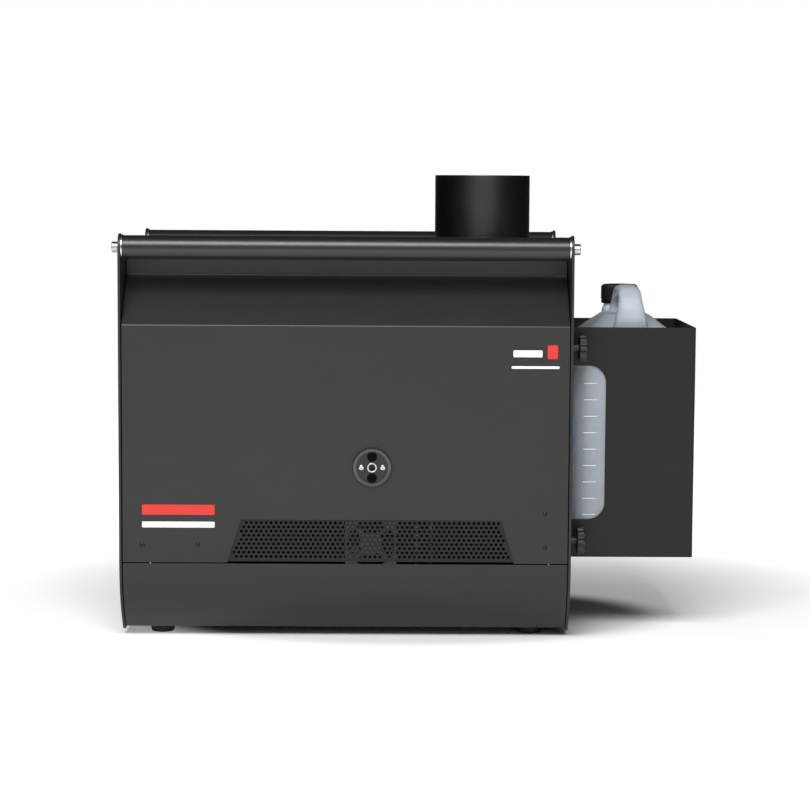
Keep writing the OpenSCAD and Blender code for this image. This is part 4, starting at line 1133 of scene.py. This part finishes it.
def control_plate():
    """Rear control plate, with a bore for each device on it."""
    cx, cz, w, h = CONTROL
    margin = 0.008
    bores = [rectangle(cx - 0.033, 0.288, cx + 0.033, 0.312, 0.001)]
    bores += [rectangle(-0.1135, 0.2085, -0.0925, 0.2355, 0.0005)]
    bores += [circle(cx + (i - 1.5) * 0.02, 0.266, 0.0048, 40) for i in range(4)]
    bores += [circle(x, 0.222, 0.012, 48) for x in (-0.193, -0.15)]
    bores += [circle(-0.19, 0.172, 0.012, 48), circle(-0.11, 0.172, 0.0052, 32)]
    bores += [circle(x, z, 0.0017, 16) for x, z in CONTROL_SCREWS]
    sheet = rectangle(cx - w / 2 - margin, cz - h / 2 - margin, cx + w / 2 + margin,
                      cz + h / 2 + margin, 0.002)
    face_y = high("control_panel").y
    part = plate([sheet] + bores, SHEET_T, 0.0003, place=lambda u, v, w: (CX + u, face_y + w, v))
    stand_in("control_panel", part, control_coat)


control_plate()


# ---------- CAD pieces that show as they are ----------

BUTTONS = "menu_button_back menu_button_down menu_button_up menu_button_enter power_switch"
KEPT = {
    galvanised: ("duct_flange fan_stand heater_cradle pump_bracket power_supply "
                 "rosette_backing_plates"),
    zinc: "jet_fan_guard fluid_inlet",
    fan_plastic: "jet_fan_housing cooling_fan_housing solid_state_relays",
    aluminium: "heater_blocks",
    rod_steel: "heater_rods",
    wool: "heater_jacket",
    ceramic: "thermostats",
    copper: "nozzle_pipes pressure_line",
    hose: "suction_line",
    board: "control_board",
    terminal: "terminal_block",
    black_plastic: "fluid_pump switch_housing circuit_breaker",
    glass: "display_module",
    button_plastic: BUTTONS,
    blue: "power_inlet",
    nickel: "data_sockets",
    red: "breaker_button",
}
BEVELLED = ("power_inlet data_sockets circuit_breaker breaker_button switch_housing display_module "
            + BUTTONS).split()
for finish, names in KEPT.items():
    for name in names.split():
        mesh = frame["nodes"][name].data
        mesh.materials.clear()
        mesh.materials.append(finish)
        if name in BEVELLED:
            bevel = frame["nodes"][name].modifiers.new("edges", "BEVEL")
            bevel.width, bevel.segments, bevel.angle_limit = 0.00035, 2, radians(35)
            bevel.harden_normals = True


# ---------- Floor, light and camera ----------

WORLD_LIGHT = 0.58


def floor():
    """White floor that takes the machine's shadow and is plain white away from it. Its glow is painted
    light: nil round the machine's footprint, which paints shade there, and near white far away.
    """
    x, y = 2.4, 2.6
    corners = [(-x, -y, 0), (x, -y, 0), (x, y, 0), (-x, y, 0)]
    mesh = mesh_of("floor", (corners, [(0, 1, 2, 3)]))
    mat = bpy.data.materials.new("floor_white_painted_glow")
    mat.use_nodes = True
    tree = mat.node_tree
    where = add_node(tree, "TexCoord").outputs["Object"]
    shape = add_node(tree, "Mapping", {"Scale": (0.6, 1, 1), "Vector": where})
    reach = add_node(tree, "VectorMath", {0: shape.outputs["Vector"]}, operation="LENGTH")
    # Painted light: the floor glows by its distance from the machine, least close to it, which paints a
    # shade round its footprint.
    painted_glow = add_node(tree, "ValToRGB", {"Fac": reach.outputs["Value"]})
    ramp = painted_glow.color_ramp
    ramp.interpolation = "EASE"
    ramp.elements.new(0.215)
    for element, spot, share in zip(ramp.elements, (0.165, 0.215, 0.8), (0.0, 0.3, 0.9)):
        element.position = spot
        element.color = (share, share, share, 1)
    fill(tree, tree.nodes["Principled BSDF"], {
        "Base Color": (0.93, 0.93, 0.93, 1), "Roughness": 1.0,
        "Emission Color": painted_glow.outputs["Color"], "Emission Strength": 1.0
    })
    mesh.materials.append(mat)
    in_scene("floor", mesh)


def softbox():
    """One wide soft light, in front, above and a little to the left."""
    light = bpy.data.lights.new("softbox", "AREA")
    light.shape = "RECTANGLE"
    light.size, light.size_y = 1.9, 1.2
    light.energy = 74
    obj = in_scene("softbox", light)
    obj.location = (-0.35, -1.9, 2.2)
    aim = Vector((0, 0, 0.35))
    obj.rotation_euler = (aim - obj.location).to_track_quat("-Z", "Y").to_euler()


def world():
    """White to look at. As a light it is a white tent in front, dark at its sides and back."""
    sky = bpy.data.worlds.new("studio")
    sky.use_nodes = True
    tree = sky.node_tree
    tree.nodes.clear()
    where = add_node(tree, "TexCoord").outputs["Generated"]
    way = add_node(tree, "SeparateXYZ", {"Vector": where})
    aside = add_node(tree, "Math", {0: way.outputs["X"]}, operation="ABSOLUTE")
    shares = []
    for source, start, end, least in (
        (aside.outputs["Value"], 0.75, 0.28, 0.06), (way.outputs["Y"], 0.1, -0.6, 0.08)
    ):
        inputs = {"From Min": start, "From Max": end, "To Min": least, "Value": source}
        shares.append(add_node(tree, "MapRange", inputs).outputs["Result"])
    both = add_node(tree, "Math", dict(enumerate(shares)), operation="MULTIPLY")
    lit = add_node(tree, "Background", {"Strength": WORLD_LIGHT, "Color": both.outputs["Value"]})
    seen = add_node(tree, "Background", {"Color": (1, 1, 1, 1)})
    pick = add_node(tree, "MixShader", {
        "Fac": add_node(tree, "LightPath").outputs["Is Camera Ray"],
        1: lit.outputs["Background"], 2: seen.outputs["Background"]
    })
    add_node(tree, "OutputWorld", {"Surface": pick.outputs["Shader"]})
    scene.world = sky


def camera():
    data = bpy.data.cameras.new("camera")
    data.lens = 103.0
    data.sensor_width = 36
    data.clip_end = 100
    yaw, pitch, roll = radians(-0.45), radians(90 - 5.49), radians(0.33)
    turn = Matrix.Rotation(yaw, 4, "Z") @ Matrix.Rotation(pitch, 4, "X") @ Matrix.Rotation(roll, 4, "Z")
    obj = in_scene("camera", data)
    obj.matrix_world = at(-0.024, -2.858, 0.538) @ turn
    scene.camera = obj


floor()
world()
camera()
softbox()
scene.view_settings.view_transform = "Standard"
